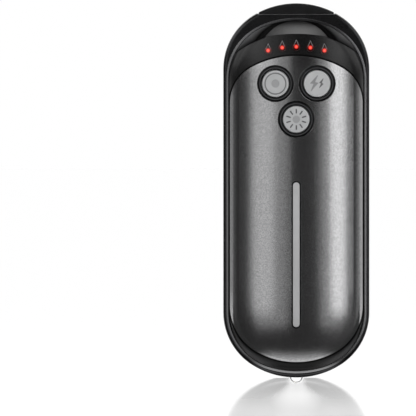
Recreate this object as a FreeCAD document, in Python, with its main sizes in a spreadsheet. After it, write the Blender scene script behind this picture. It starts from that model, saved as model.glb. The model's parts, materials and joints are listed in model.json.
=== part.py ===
"""Rechargeable hand warmer: every separate piece, driven by one sheet of sizes.

The body stands upright: z runs along its length with the port cover at the top, the face plate
looks to -y and the flat back lies in the plane y = 0.  All sizes are in millimetres.
"""
import FreeCAD
import Part
import math
import os
import re
import Sketcher

# Driving sizes
SIZES = {
    # Whole body
    "body_length": 110.0,
    "body_width": 43.0,
    "body_depth": 25.0,
    "end_rise": 19.2,
    "end_corner": 18.3,
    # Mid frame
    "frame_depth": 10.4,
    "frame_back": 7.0,
    "frame_round": 0.9,
    "frame_lip_round": 0.4,
    "frame_side_wall": 1.4,
    "frame_foot_wall": 1.8,
    "frame_top_wall": 4.7,
    "inner_rise": 17.5,
    "inner_corner": 17.0,
    "flange_width": 2.3,
    "flange_thick": 1.0,
    "fit_gap": 0.1,
    # Pillow shape of the front
    "crown_radius": 45.0,
    "droop_radius": 70.0,
    "droop_length": 27.0,
    "droop_sweep": 38.0,
    "edge_round": 5.0,
    # Plates, heater films and housing walls
    "plate_thick": 1.0,
    "film_thick": 0.2,
    "wall_thick": 1.3,
    "plate_side_gap": 0.55,
    "plate_top_gap": 15.0,
    "plate_foot_gap": 4.6,
    "plate_top_rise": 14.0,
    "plate_top_corner": 12.1,
    "plate_foot_rise": 16.6,
    "plate_foot_corner": 15.6,
    "plate_gap": 0.15,
    "plate_reach": 6.8,
    "film_border": 1.5,
    "film_hole_gap": 0.6,
    "rear_round": 6.0,
    "rear_bezel": 1.2,
    "rear_reach": 4.6,
    # Indicator panel and lanyard lug
    "panel_radius": 29.3,
    "panel_drop": 8.4,
    "lug_radius": 11.2,
    "lug_drop": 4.9,
    "lug_tip_drop": 0.3,
    "lug_back_drop": 1.4,
    "bevel_rise": 3.7,
    "bevel_depth": 5.1,
    "hole_radius": 14.2,
    "hole_drop": 4.2,
    "shelf_drop": 1.3,
    "tunnel_depth": 1.8,
    "pocket_wall": 1.0,
    # Indicator windows and LEDs
    "drop_radius": 0.9,
    "drop_point": 2.3,
    "drop_pitch": 4.15,
    "drop_arc": 31.0,
    "drop_below_top": 12.7,
    "chip_led_length": 1.6,
    "chip_led_width": 0.8,
    "chip_led_thick": 0.7,
    # Buttons
    "ring_diameter": 10.5,
    "ring_bore": 8.4,
    "ring_proud": 0.35,
    "ring_collar": 11.9,
    "ring_depth": 5.2,
    "cap_diameter": 8.0,
    "cap_proud": 0.2,
    "cap_shoulder": 2.6,
    "cap_flange": 9.0,
    "cap_flange_thick": 0.8,
    "cap_flange_gap": 0.35,
    "cap_stem": 3.0,
    "button_spread": 6.14,
    "button_row_drop": 23.3,
    "button_low_drop": 33.8,
    "button_travel": 0.4,
    "switch_side": 6.0,
    "switch_height": 3.5,
    "plunger_diameter": 3.4,
    "plunger_rise": 0.8,
    "plunger_sunk": 1.8,
    "plunger_gap": 0.15,
    # Light bar
    "bar_width": 2.1,
    "bar_top_drop": 52.3,
    "bar_length": 42.7,
    "bar_slot_gap": 0.3,
    "bar_foot_width": 4.4,
    "bar_foot_back": 4.8,
    "bar_foot_extra": 1.5,
    "bar_led_count": 10,
    "bar_led_width": 2.8,
    "bar_led_length": 2.0,
    "bar_led_thick": 0.7,
    "bar_board_thick": 0.8,
    # Torch
    "lens_diameter": 3.9,
    "lens_proud": 1.6,
    "lens_foot_diameter": 6.0,
    "lens_foot_thick": 0.8,
    "torch_led_side": 3.5,
    "torch_led_thick": 1.2,
    "torch_board_side": 8.0,
    "torch_board_thick": 1.0,
    "torch_holder_side": 10.0,
    # Port cover and socket
    "cover_height": 3.0,
    "cover_gap": 0.1,
    "cover_end_trim": 0.7,
    "cover_travel": 6.0,
    "tether_diameter": 1.6,
    "tether_gap": 0.15,
    "tether_bead": 2.6,
    "tether_bead_length": 1.6,
    "tether_x": 8.0,
    "usb_width": 8.94,
    "usb_height": 3.26,
    "usb_length": 7.35,
    "usb_wall": 0.3,
    "usb_sunk": 0.3,
    "usb_slot_gap": 0.15,
    "tongue_width": 6.7,
    "tongue_thick": 0.7,
    "tongue_sunk": 1.6,
    "plug_gap": 0.15,
    "plug_depth": 1.6,
    "plug_wall": 0.5,
    # Main board
    "board_thick": 1.0,
    "board_gap": 0.2,
    "board_side_gap": 7.6,
    "board_length": 30.0,
    "board_top_drop": 12.0,
    "board_corner": 2.0,
    "board_neck": 10.0,
    "neck_drop": 1.2,
    "board_foot_gap": 3.0,
    "board_screw_inset": 1.3,
    "board_screw_high_drop": 15.0,
    "board_screw_low_rise": 3.0,
    "chip_side": 5.0,
    "chip_thick": 0.9,
    "chip_gap": 0.8,
    "inductor_side": 6.0,
    "inductor_height": 3.0,
    # Battery
    "battery_side_gap": 2.0,
    "battery_depth": 11.0,
    "battery_round": 1.5,
    "battery_foot_rise": 18.0,
    "pad_thick": 0.6,
    "pad_inset": 5.0,
    "guard_width": 16.0,
    "guard_depth": 4.0,
    "guard_thick": 1.0,
    # Screws and leads
    "boss_diameter": 4.0,
    "board_boss_diameter": 3.4,
    "screw_high_inset": 5.5,
    "screw_high_drop": 21.0,
    "screw_low_inset": 8.1,
    "screw_low_rise": 12.0,
    "screw_diameter": 1.6,
    "screw_head": 3.0,
    "screw_head_thick": 1.2,
    "screw_head_depth": 2.8,
    "screw_length": 13.0,
    "screw_gap": 0.05,
    "board_screw_diameter": 1.4,
    "board_screw_head": 2.6,
    "board_screw_length": 4.0,
    "lead_diameter": 1.0,
    "lead_bend": 1.6,
    "lead_hole_gap": 0.1,
    "heater_lead_inset": 1.6,
    "heater_lead_rise": 8.0,
    "heater_lead_pitch": 1.4,
    "battery_lead_spread": 4.5,
    "battery_lead_rise": 1.5,
    "torch_lead_spread": 3.0,
    "torch_lead_drop": 3.0,
    "torch_lead_run": 1.6,
    "torch_lead_rise": 2.0,
    "bar_lead_spread": 1.5,
    "bar_lead_drop": 4.0,
    "bar_lead_run": 1.8,
    "bar_lead_rise": 4.0,
}

# Places worked out from the sizes
PLACES = {
    "top": "body_length / 2",
    "foot": "-body_length / 2",
    "half_width": "body_width / 2",
    "front": "-body_depth",
    "frame_rear": "-frame_back",
    "frame_front": "-frame_back - frame_depth",
    "flange_mid": "-frame_back - frame_depth / 2",
    "flange_front": "flange_mid - flange_thick / 2",
    "flange_rear": "flange_mid + flange_thick / 2",
    "droop_start": "top - droop_length",
    "film_inset": "plate_thick + film_thick",
    "wall_inset": "film_inset + wall_thick",
    # Outline of the frame
    "frame_half": "half_width",
    "frame_tip_top": "top",
    "frame_tip_foot": "foot",
    "frame_spring_top": "top - end_rise",
    "frame_spring_foot": "foot + end_rise",
    "frame_corner_top": "end_corner",
    "frame_corner_foot": "end_corner",
    # Opening of the frame
    "inner_half": "half_width - frame_side_wall",
    "inner_tip_top": "top - frame_top_wall",
    "inner_tip_foot": "foot + frame_foot_wall",
    "inner_spring_top": "inner_tip_top - inner_rise",
    "inner_spring_foot": "inner_tip_foot + inner_rise",
    "inner_corner_top": "inner_corner",
    "inner_corner_foot": "inner_corner",
    # Outline of the face plate
    "plate_half": "inner_half - plate_side_gap",
    "plate_tip_top": "top - plate_top_gap",
    "plate_tip_foot": "foot + plate_foot_gap",
    "plate_spring_top": "plate_tip_top - plate_top_rise",
    "plate_spring_foot": "plate_tip_foot + plate_foot_rise",
    "plate_corner_top": "plate_top_corner",
    "plate_corner_foot": "plate_foot_corner",
    # Panel, lug and lanyard pocket
    "panel_z": "top - panel_drop - panel_radius",
    "lug_z": "top - lug_drop - lug_radius",
    "hole_z": "top - hole_drop - hole_radius",
    "shelf_y": "frame_front + shelf_drop",
    "lug_tip": "frame_front + lug_tip_drop",
    "lug_back": "frame_front + lug_back_drop",
    "pocket_floor": "lug_back + tunnel_depth",
    "pocket_back": "pocket_floor + pocket_wall",
    # Main board and socket
    "board_front": "pocket_back + board_gap",
    "board_rear": "board_front + board_thick",
    "board_top": "top - board_top_drop",
    "board_foot": "board_top - board_length",
    "board_half": "inner_half - board_side_gap",
    "ledge": "top - cover_height",
    "usb_y": "board_rear + usb_height / 2",
    "usb_mouth": "ledge - usb_sunk",
    "usb_back": "usb_mouth - usb_length",
    # Buttons
    "ring_radius": "ring_diameter / 2",
    "cap_shoulder_y": "front + cap_shoulder",
    "ring_base": "front + ring_depth",
    "switch_top": "board_front - switch_height",
    "plunger_top": "switch_top - plunger_rise",
    "button_row_z": "top - button_row_drop",
    "button_low_z": "top - button_low_drop",
    # Light bar
    "bar_top": "top - bar_top_drop",
    "bar_end": "bar_top - bar_length",
    "bar_foot_y": "front + bar_foot_back",
    "bar_board_front": "bar_foot_y + bar_led_thick",
    "bar_board_rear": "bar_board_front + bar_board_thick",
    # Torch
    "torch_y": "flange_mid",
    "lens_seat": "inner_tip_foot + fit_gap + wall_inset + fit_gap",
    "torch_led_base": "lens_seat + lens_foot_thick",
    "torch_board_base": "torch_led_base + torch_led_thick",
    "torch_board_top": "torch_board_base + torch_board_thick",
    # Battery
    "battery_rear": "-wall_inset - pad_thick",
    "battery_front": "battery_rear - battery_depth",
    "battery_foot": "foot + battery_foot_rise",
    "guard_top": "board_foot - board_foot_gap",
    "battery_top": "guard_top - guard_thick",
    "battery_half": "inner_half - fit_gap - wall_inset - battery_side_gap",
    "guard_y": "(battery_rear + battery_front) / 2",
    # Screws
    "screw_high_x": "inner_half - screw_high_inset",
    "screw_high_z": "top - screw_high_drop",
    "screw_low_x": "inner_half - screw_low_inset",
    "screw_low_z": "foot + screw_low_rise",
    "board_screw_x": "board_half - board_screw_inset",
    "board_screw_high_z": "top - board_screw_high_drop",
    "board_screw_low_z": "board_foot + board_screw_low_rise",
    # Leads and tether
    "heater_lead_x": "board_screw_x - heater_lead_inset",
    "heater_lead_z": "board_foot + heater_lead_rise",
    "bead_top": "ledge - frame_top_wall - wall_inset - cover_travel",
}

VECTOR = FreeCAD.Vector
DOC = FreeCAD.newDocument("hand_warmer")
TURNS = {
    "x": FreeCAD.Rotation(VECTOR(0, 1, 0), 90),
    "y": FreeCAD.Rotation(VECTOR(1, 0, 0), -90),
    "z": FreeCAD.Rotation(),
    "front": FreeCAD.Rotation(VECTOR(1, 0, 0), 90),
}
PIECES = []


def linked(formula):
    """Put the sheet's name in front of every size and place in a formula."""

    def sheet_word(match):
        word = match.group(0)
        if word in SIZES:
            return "size." + word
        if word in PLACES:
            return "place." + word
        return word

    return re.sub(r"[a-z_]+", sheet_word, str(formula))


def fill_sheet(name, cells):
    """Make a sheet with one named cell for each entry."""
    sheet = DOC.addObject("Spreadsheet::Sheet", name)
    for row, (alias, content) in enumerate(cells.items(), 1):
        sheet.set(f"A{row}", alias)
        sheet.set(f"B{row}", content)
        sheet.setAlias(f"B{row}", alias)
    return sheet


fill_sheet("size", {alias: str(value) for alias, value in SIZES.items()})
fill_sheet("place", {alias: "=" + linked(text).replace("place.", "") for alias, text in PLACES.items()})
GAUGE = DOC.addObject("Spreadsheet::Sheet", "gauge")
DOC.recompute()


def number(formula):
    """Work out a formula with the sheets as they stand."""
    GAUGE.set("A1", "=" + linked(formula))
    GAUGE.recompute()
    return float(GAUGE.get("A1"))


def bind(item, **formulas):
    """Tie properties of an object to formulas of the sheets."""
    for prop, formula in formulas.items():
        item.setExpression(prop, linked(formula))
    return item


def move(item, x="0", y="0", z="0", turn="z"):
    """Turn an object and tie its place to formulas."""
    item.Placement = FreeCAD.Placement(VECTOR(), TURNS[turn])
    for axis, formula in zip("xyz", (x, y, z)):
        item.setExpression(f"Placement.Base.{axis}", linked(formula))
    return item


def box(name, x, y, z):
    """Block between two formulas on each axis."""
    block = DOC.addObject("Part::Box", name)
    bind(
        block,
        Length=f"({x[1]}) - ({x[0]})",
        Width=f"({y[1]}) - ({y[0]})",
        Height=f"({z[1]}) - ({z[0]})",
    )
    return move(block, x[0], y[0], z[0])


def centred(half, middle="0"):
    """Two formulas the same way either side of a middle."""
    return f"({middle}) - ({half})", f"({middle}) + ({half})"


def rod(name, axis, diameter, centre, span):
    """Cylinder along an axis; centre gives the two other coordinates in x, y, z order."""
    item = DOC.addObject("Part::Cylinder", name)
    bind(item, Radius=f"({diameter}) / 2", Height=f"({span[1]}) - ({span[0]})")
    spot = list(centre)
    spot.insert("xyz".index(axis), span[0])
    return move(item, *spot, turn=axis)


def fuse(name, *items):
    """Join solids into one."""
    joined = DOC.addObject("Part::MultiFuse", name)
    joined.Shapes = list(items)
    return joined


def common(name, *items):
    """Keep what all the solids share."""
    shared = DOC.addObject("Part::MultiCommon", name)
    shared.Shapes = list(items)
    return shared


def cut(name, base, *tools):
    """Take each tool away from the base."""
    for tool in tools:
        step = DOC.addObject("Part::Cut", name)
        step.Base = base
        step.Tool = tool
        base = step
    return base


def group(name, *items):
    """Hold equal solids together as one piece."""
    held = DOC.addObject("Part::Compound", name)
    held.Links = list(items)
    return held


def capsule(name, axis, half, ends, middle, span):
    """Slot shape along y (long in z) or along z (long in x)."""
    low = f"({ends[0]}) + ({half})"
    high = f"({ends[1]}) - ({half})"
    across = centred(half, middle)
    diameter = f"2 * ({half})"
    if axis == "y":
        block = box(name + "_block", across, span, (low, high))
        spots = ((middle, low), (middle, high))
    else:
        block = box(name + "_block", (low, high), across, span)
        spots = ((low, middle), (high, middle))
    first = rod(name + "_first_end", axis, diameter, spots[0], span)
    second = rod(name + "_second_end", axis, diameter, spots[1], span)
    return fuse(name, block, first, second)


def piece(label, item):
    """Name a finished piece and list it for writing."""
    item.Label = label
    PIECES.append(item)
    return item


def add_limit(sketch, kind, formula, *place):
    """Add a driving constraint that follows a formula."""
    index = sketch.addConstraint(Sketcher.Constraint(kind, *place, number(formula)))
    sketch.setExpression(f"Constraints[{index}]", linked(formula))


def set_point(sketch, item, point, across, up):
    """Fix a point of a sketch at two formulas measured from the sketch's origin."""
    for kind, formula, axis in (("DistanceX", across, -2), ("DistanceY", up, -1)):
        value = number(formula)
        if abs(value) < 1e-9:
            sketch.addConstraint(Sketcher.Constraint("PointOnObject", item, point, axis))
        elif value > 0:
            add_limit(sketch, kind, formula, -1, 1, item, point)
        else:
            add_limit(sketch, kind, f"-({formula})", item, point, -1, 1)


def flat(x, y):
    """Point in the plane of a sketch."""
    return VECTOR(x, y, 0)


def circle_arc(centre, radius, start, end):
    """Arc of a circle in the plane of a sketch, angles in radians."""
    return Part.ArcOfCircle(Part.Circle(centre, VECTOR(0, 0, 1), radius), start, end)


def end_radius(family, end):
    """Formula of the radius that closes one end of an outline."""
    sign = "" if end == "top" else "-"
    half = f"{family}_half"
    corner = f"{family}_corner_{end}"
    rise = f"({sign}({family}_tip_{end} - {family}_spring_{end}))"
    return f"(({half} - {corner}) ^ 2 + {rise} ^ 2 - {corner} ^ 2) / (2 * ({rise} - {corner}))"


def arch_sketch(name, family, grow):
    """Outline with straight sides and a three-centred arch at each end."""
    sketch = DOC.addObject("Sketcher::SketchObject", name)
    half = number(f"{family}_half + ({grow})")
    extra = number(grow)
    corner = {end: number(f"{family}_corner_{end}") + extra for end in ("top", "foot")}
    spring = {end: number(f"{family}_spring_{end}") for end in ("top", "foot")}
    tip = {"top": number(f"{family}_tip_top") + extra, "foot": number(f"{family}_tip_foot") - extra}
    radius = {end: number(end_radius(family, end)) + extra for end in ("top", "foot")}
    inset = {end: half - corner[end] for end in ("top", "foot")}
    centre = {"top": tip["top"] - radius["top"], "foot": tip["foot"] + radius["foot"]}
    turn = math.atan2(spring["top"] - centre["top"], inset["top"])
    low = math.atan2(centre["foot"] - spring["foot"], inset["foot"])
    full = math.pi
    sketch.addGeometry([
        Part.LineSegment(flat(half, spring["foot"]), flat(half, spring["top"])),
        circle_arc(flat(inset["top"], spring["top"]), corner["top"], 0, turn),
        circle_arc(flat(0, centre["top"]), radius["top"], turn, full - turn),
        circle_arc(flat(-inset["top"], spring["top"]), corner["top"], full - turn, full),
        Part.LineSegment(flat(-half, spring["top"]), flat(-half, spring["foot"])),
        circle_arc(flat(-inset["foot"], spring["foot"]), corner["foot"], full, full + low),
        circle_arc(flat(0, centre["foot"]), radius["foot"], full + low, 2 * full - low),
        circle_arc(flat(inset["foot"], spring["foot"]), corner["foot"], 2 * full - low, 2 * full),
    ])
    for index in range(8):
        sketch.addConstraint(Sketcher.Constraint("Tangent", index, 2, (index + 1) % 8, 1))
    sketch.addConstraint([
        Sketcher.Constraint("Vertical", 0),
        Sketcher.Constraint("Vertical", 4),
        Sketcher.Constraint("Equal", 1, 3),
        Sketcher.Constraint("Equal", 5, 7),
        Sketcher.Constraint("PointOnObject", 2, 3, -2),
        Sketcher.Constraint("PointOnObject", 6, 3, -2),
    ])
    add_limit(sketch, "DistanceX", f"{family}_half + ({grow})", -1, 1, 0, 2)
    add_limit(sketch, "DistanceX", f"{family}_half + ({grow})", 4, 1, -1, 1)
    add_limit(sketch, "Radius", f"{family}_corner_top + ({grow})", 1)
    add_limit(sketch, "Radius", f"{family}_corner_foot + ({grow})", 5)
    add_limit(sketch, "DistanceY", f"{family}_spring_top", -1, 1, 1, 3)
    add_limit(sketch, "DistanceY", f"-{family}_spring_foot", 5, 3, -1, 1)
    add_limit(sketch, "Radius", f"{end_radius(family, 'top')} + ({grow})", 2)
    add_limit(sketch, "Radius", f"{end_radius(family, 'foot')} + ({grow})", 6)
    return sketch


def extrude(name, sketch, direction, length):
    """Solid from a sketch pushed along a direction."""
    solid = DOC.addObject("Part::Extrusion", name)
    solid.Base = sketch
    solid.DirMode = "Custom"
    solid.Dir = direction
    solid.Solid = True
    return bind(solid, LengthFwd=length)


def arch_prism(name, family, span, grow="0"):
    """Solid with one of the outlines, between two depths."""
    sketch = move(arch_sketch(name + "_outline", family, grow), y=span[0], turn="front")
    return extrude(name, sketch, VECTOR(0, 1, 0), f"({span[1]}) - ({span[0]})")


def polygon(sketch, points):
    """Closed outline of straight lines through points given as formulas."""
    spots = [flat(number(across), number(up)) for across, up in points]
    count = len(spots)
    for index in range(count):
        sketch.addGeometry(Part.LineSegment(spots[index], spots[(index + 1) % count]))
    for index in range(count):
        sketch.addConstraint(Sketcher.Constraint("Coincident", index, 2, (index + 1) % count, 1))
    for index, (across, up) in enumerate(points):
        set_point(sketch, index, 1, across, up)


def origin_plane(body, role):
    """Find one of a body's own base planes."""
    return next(part for part in body.Origin.OriginFeatures if part.Role == role)


def body_with_sketch(name, role):
    """Start a body with a sketch on one of its base planes."""
    body = DOC.addObject("PartDesign::Body", name)
    sketch = body.newObject("Sketcher::SketchObject", name + "_sketch")
    sketch.AttachmentSupport = [(origin_plane(body, role), "")]
    sketch.MapMode = "FlatFace"
    return body, sketch


def turned(name, points):
    """Body turned about its own z axis from a profile of radius and height."""
    body, sketch = body_with_sketch(name, "XZ_Plane")
    polygon(sketch, points)
    spin = body.newObject("PartDesign::Revolution", name + "_spin")
    spin.Profile = sketch
    spin.ReferenceAxis = (sketch, ["V_Axis"])
    spin.Angle = 360
    return body


def padded(name, role, points, length):
    """Body padded from a polygon on one of its base planes."""
    body, sketch = body_with_sketch(name, role)
    polygon(sketch, points)
    pad = body.newObject("PartDesign::Pad", name + "_pad")
    pad.Profile = sketch
    bind(pad, Length=length)
    return body


def middle_normal(face):
    """Outward direction near the middle of a face."""
    low_u, high_u, low_v, high_v = face.ParameterRange
    return face.normalAt((low_u + high_u) / 2, (low_v + high_v) / 2)


def rounded(name, base, radius, chosen):
    """Round the edges of a solid for which the test holds."""
    base.recompute(True)
    shape = base.Shape
    size = number(radius)
    edges = [place for place, edge in enumerate(shape.Edges, 1) if chosen(shape, edge)]
    item = DOC.addObject("Part::Fillet", name)
    item.Base = base
    item.Edges = [(place, size, size) for place in edges]
    return item


def crown(name, inset):
    """Pillow solid: an arched section that droops towards both ends of the body."""
    apex = f"front + ({inset})"
    radius = f"crown_radius - ({inset})"
    half = number("half_width + 2")
    back = number("frame_rear + 2")
    centre = number(f"{apex} + {radius}")
    edge = centre - math.sqrt(number(radius) ** 2 - half ** 2)
    start = math.atan2(edge - centre, -half)
    end = math.atan2(edge - centre, half)
    sketch = DOC.addObject("Sketcher::SketchObject", name + "_section")
    sketch.addGeometry([
        circle_arc(flat(0, centre), number(radius), start, end),
        Part.LineSegment(flat(half, edge), flat(half, back)),
        Part.LineSegment(flat(half, back), flat(-half, back)),
        Part.LineSegment(flat(-half, back), flat(-half, edge)),
    ])
    for index in range(4):
        sketch.addConstraint(Sketcher.Constraint("Coincident", index, 2, (index + 1) % 4, 1))
    sketch.addConstraint(Sketcher.Constraint("Vertical", 1))
    sketch.addConstraint(Sketcher.Constraint("Vertical", 3))
    set_point(sketch, 0, 3, "0", f"{apex} + {radius}")
    add_limit(sketch, "Radius", radius, 0)
    set_point(sketch, 2, 1, "half_width + 2", "frame_rear + 2")
    set_point(sketch, 2, 2, "-half_width - 2", "frame_rear + 2")
    move(sketch, z="-droop_start")
    middle = extrude(name + "_middle", sketch, VECTOR(0, 0, 1), "droop_start")
    droop = DOC.addObject("Part::Revolution", name + "_droop")
    droop.Source = sketch
    droop.Axis = VECTOR(1, 0, 0)
    droop.Solid = True
    bind(droop, Angle="droop_sweep")
    droop.setExpression("Base.y", linked("front + droop_radius"))
    droop.setExpression("Base.z", linked("-droop_start"))
    low = fuse(name + "_low", middle, droop)
    high = DOC.addObject("Part::Mirroring", name + "_high")
    high.Source = low
    high.Normal = VECTOR(0, 0, 1)
    return fuse(name, low, high)


def pebble(name, inset, back="frame_rear + 1"):
    """Front of the body, drawn in evenly by an inset, with its edge rounded."""
    grow = f"-fit_gap - ({inset})"
    prism = arch_prism(name + "_prism", "inner", ("front - 2", back), grow)
    block = common(name + "_block", prism, crown(name + "_crown", inset))
    limit = number(back) - 0.01

    def at_front(shape, edge):
        faces = shape.ancestorsOfType(edge, Part.Face)
        upright = [abs(middle_normal(face).y) < 0.01 for face in faces]
        return upright.count(True) == 1 and edge.BoundBox.YMin < limit

    return rounded(name, block, f"edge_round - ({inset})", at_front)


def rear_pebble(name, inset, start="frame_front"):
    """Back of the body, flat in the middle, drawn in evenly by an inset."""
    grow = f"-fit_gap - ({inset})"
    prism = arch_prism(name + "_prism", "inner", (start, f"-({inset})"), grow)
    limit = -number(inset) - 0.01

    def at_back(shape, edge):
        return edge.BoundBox.YMin > limit

    return rounded(name, prism, f"rear_round - ({inset})", at_back)


# Solids shared by several pieces
FRONT_SOLID = pebble("front_solid", "0", "flange_front")
FRONT_PLATE_SOLID = pebble("front_plate_solid", "plate_thick")
FRONT_FILM_SOLID = pebble("front_film_solid", "film_inset")
FRONT_WALL_SOLID = pebble("front_wall_solid", "wall_inset")
FRONT_CLEAR_SOLID = pebble("front_clear_solid", "wall_inset + fit_gap")
RING_TOP_SOLID = pebble("ring_top_solid", "-ring_proud")
CAP_TOP_SOLID = pebble("cap_top_solid", "-cap_proud")
REAR_SOLID = rear_pebble("rear_solid", "0", "flange_rear")
REAR_PLATE_SOLID = rear_pebble("rear_plate_solid", "plate_thick")
REAR_FILM_SOLID = rear_pebble("rear_film_solid", "film_inset")
REAR_WALL_SOLID = rear_pebble("rear_wall_solid", "wall_inset")

FRONT_SPAN = ("front - 1", "flange_front")
BUTTONS = {
    "heat": ("-button_spread", "button_row_z"),
    "power": ("button_spread", "button_row_z"),
    "light": ("0", "button_low_z"),
}
HOUSING_SCREWS = [
    ("-screw_high_x", "screw_high_z"),
    ("screw_high_x", "screw_high_z"),
    ("-screw_low_x", "screw_low_z"),
    ("screw_low_x", "screw_low_z"),
]
BOARD_SCREWS = [
    ("-board_screw_x", "board_screw_high_z"),
    ("board_screw_x", "board_screw_high_z"),
    ("-board_screw_x", "board_screw_low_z"),
    ("board_screw_x", "board_screw_low_z"),
]
HEATER_LEADS = [
    ("-heater_lead_x", "heater_lead_z"),
    ("-heater_lead_x + heater_lead_pitch", "heater_lead_z"),
]


def button_holes(name, diameter):
    """Round holes for the three buttons, through the front."""
    return [
        rod(f"{name}_{key}", "y", diameter, spot, ("front - 1", "board_front"))
        for key, spot in BUTTONS.items()
    ]


def bar_slot(name, gap):
    """Slot for the light bar with a gap all round."""
    half = f"bar_width / 2 + {gap}"
    ends = (f"bar_end - {gap}", f"bar_top + {gap}")
    return capsule(name, "y", half, ends, "0", ("front - 1", "bar_foot_y"))


def rods_at(name, spots, diameter, span):
    """Equal rods along y at each of the spots."""
    return [rod(name, "y", diameter, spot, span) for spot in spots]


def usb_notch(name):
    """Room round the socket and the neck of the main board."""
    return box(
        name,
        centred("board_neck / 2 + fit_gap"),
        ("pocket_back", "board_rear + usb_height + fit_gap"),
        ("usb_back - fit_gap", "inner_tip_top"),
    )


def torch_hole(name):
    """Round hole for the torch lens through the lower end."""
    return rod(name, "z", "lens_diameter + fit_gap", ("0", "torch_y"), ("foot - 1", "lens_seat"))


def tether_hole(name):
    """Hole for the tether of the port cover."""
    return rod(
        name, "z", "tether_diameter + 2 * tether_gap", ("tether_x", "usb_y"), ("bead_top", "top")
    )


# Mid frame
def build_mid_frame():
    """Ring round the body with an inner flange and a ledge for the port cover."""
    block = arch_prism("frame_block", "frame", ("frame_front", "frame_rear"))

    def outer_edge(shape, edge):
        bounds = edge.BoundBox
        return bounds.YMax - bounds.YMin < 0.001

    outside = rounded("frame_outside", block, "frame_round", outer_edge)
    through = ("frame_front - 1", "frame_rear + 1")
    opened = cut(
        "frame_opened",
        outside,
        arch_prism("frame_front_opening", "inner", ("frame_front - 1", "flange_front")),
        arch_prism("frame_rear_opening", "inner", ("flange_rear", "frame_rear + 1")),
        arch_prism("frame_flange_hole", "inner", through, "-flange_width"),
    )
    front = number("frame_front")
    rear = number("frame_rear")
    reach = number("inner_half") + 0.01
    top_reach = number("inner_tip_top") + 0.01

    def lip_edge(shape, edge):
        bounds = edge.BoundBox
        planar = bounds.YMax - bounds.YMin < 0.001
        at_rim = min(abs(bounds.YMin - front), abs(bounds.YMin - rear)) < 0.001
        inside = max(bounds.XMax, -bounds.XMin) < reach and bounds.ZMax < top_reach
        return planar and at_rim and inside

    lipped = rounded("frame_lipped", opened, "frame_lip_round", lip_edge)
    slot_half = "usb_height / 2 + usb_slot_gap"
    slot_ends = ("-usb_width / 2 - usb_slot_gap", "usb_width / 2 + usb_slot_gap")
    frame = cut(
        "frame_finished",
        lipped,
        box("frame_ledge", centred("half_width"), through, ("ledge", "top + 1")),
        capsule("frame_usb_slot", "z", slot_half, slot_ends, "usb_y", ("inner_tip_top - 3", "top")),
        usb_notch("frame_usb_notch"),
        tether_hole("frame_tether_hole"),
        torch_hole("frame_torch_hole"),
    )
    piece("mid_frame", frame)
    return outside


# Port cover
def build_port_cover(outside):
    """Rubber cover that completes the top of the frame, with a plug and a tether."""
    reach = "sqrt(2 * frame_end * cover_height - cover_height ^ 2)"
    reach = reach.replace("frame_end", "(" + end_radius("frame", "top") + ")")
    cap = common(
        "cover_cap",
        outside,
        box(
            "cover_room",
            centred(f"{reach} - cover_end_trim"),
            ("frame_front - 1", "frame_rear + 1"),
            ("ledge + cover_gap", "top + 1"),
        ),
    )
    plug_span = ("usb_mouth - plug_depth", "ledge + cover_gap")
    outer_half = "usb_height / 2 - usb_wall - plug_gap"
    outer_reach = "usb_width / 2 - usb_wall - plug_gap"
    outer = capsule("cover_plug_outer", "z", outer_half, centred(outer_reach), "usb_y", plug_span)
    inner = capsule(
        "cover_plug_inner",
        "z",
        f"{outer_half} - plug_wall",
        centred(f"{outer_reach} - plug_wall"),
        "usb_y",
        plug_span,
    )
    plug = cut("cover_plug", outer, inner)
    spot = ("tether_x", "usb_y")
    tether = rod("cover_tether", "z", "tether_diameter", spot, ("bead_top", "ledge + cover_gap"))
    bead = rod("cover_bead", "z", "tether_bead", spot, ("bead_top - tether_bead_length", "bead_top"))
    piece("port_cover", fuse("cover", cap, plug, tether, bead))


# Front housing
def lanyard_cuts():
    """Pocket, shelf, tunnel and bevel that shape the lug for a lanyard."""
    panel = rod("panel_disc", "y", "2 * panel_radius", ("0", "panel_z"), ("front - 2", "frame_rear"))
    lug = rod("lug_disc", "y", "2 * lug_radius", ("0", "lug_z"), ("front - 2", "frame_rear"))
    hole = rod("hole_disc", "y", "2 * hole_radius", ("0", "hole_z"), ("front - 1", "pocket_floor"))
    shelf = box("shelf_room", centred("half_width"), ("front - 1", "shelf_y"), ("panel_z", "top"))
    tunnel = rod("tunnel_disc", "y", "2 * hole_radius", ("0", "hole_z"), ("lug_back", "pocket_floor"))
    bevel_room = box("bevel_room", centred("half_width"), ("front - 1", "lug_back"), ("panel_z", "top"))
    bevel = DOC.addObject("Part::Cone", "bevel_cone")
    slope = "bevel_rise / bevel_depth"
    tip_radius = "panel_radius + bevel_rise"
    bind(
        bevel,
        Radius1=f"{tip_radius} - ({slope}) * (lug_tip - (front - 2))",
        Radius2=f"{tip_radius} + ({slope}) * 4",
        Height="lug_tip + 4 - (front - 2)",
    )
    move(bevel, "0", "front - 2", "panel_z", turn="y")
    return [
        cut("lanyard_holes", hole, panel, lug),
        cut("lanyard_shelf", shelf, panel, lug),
        cut("lanyard_tunnel", tunnel, panel),
        cut("lanyard_bevel", bevel_room, bevel),
    ]


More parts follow.
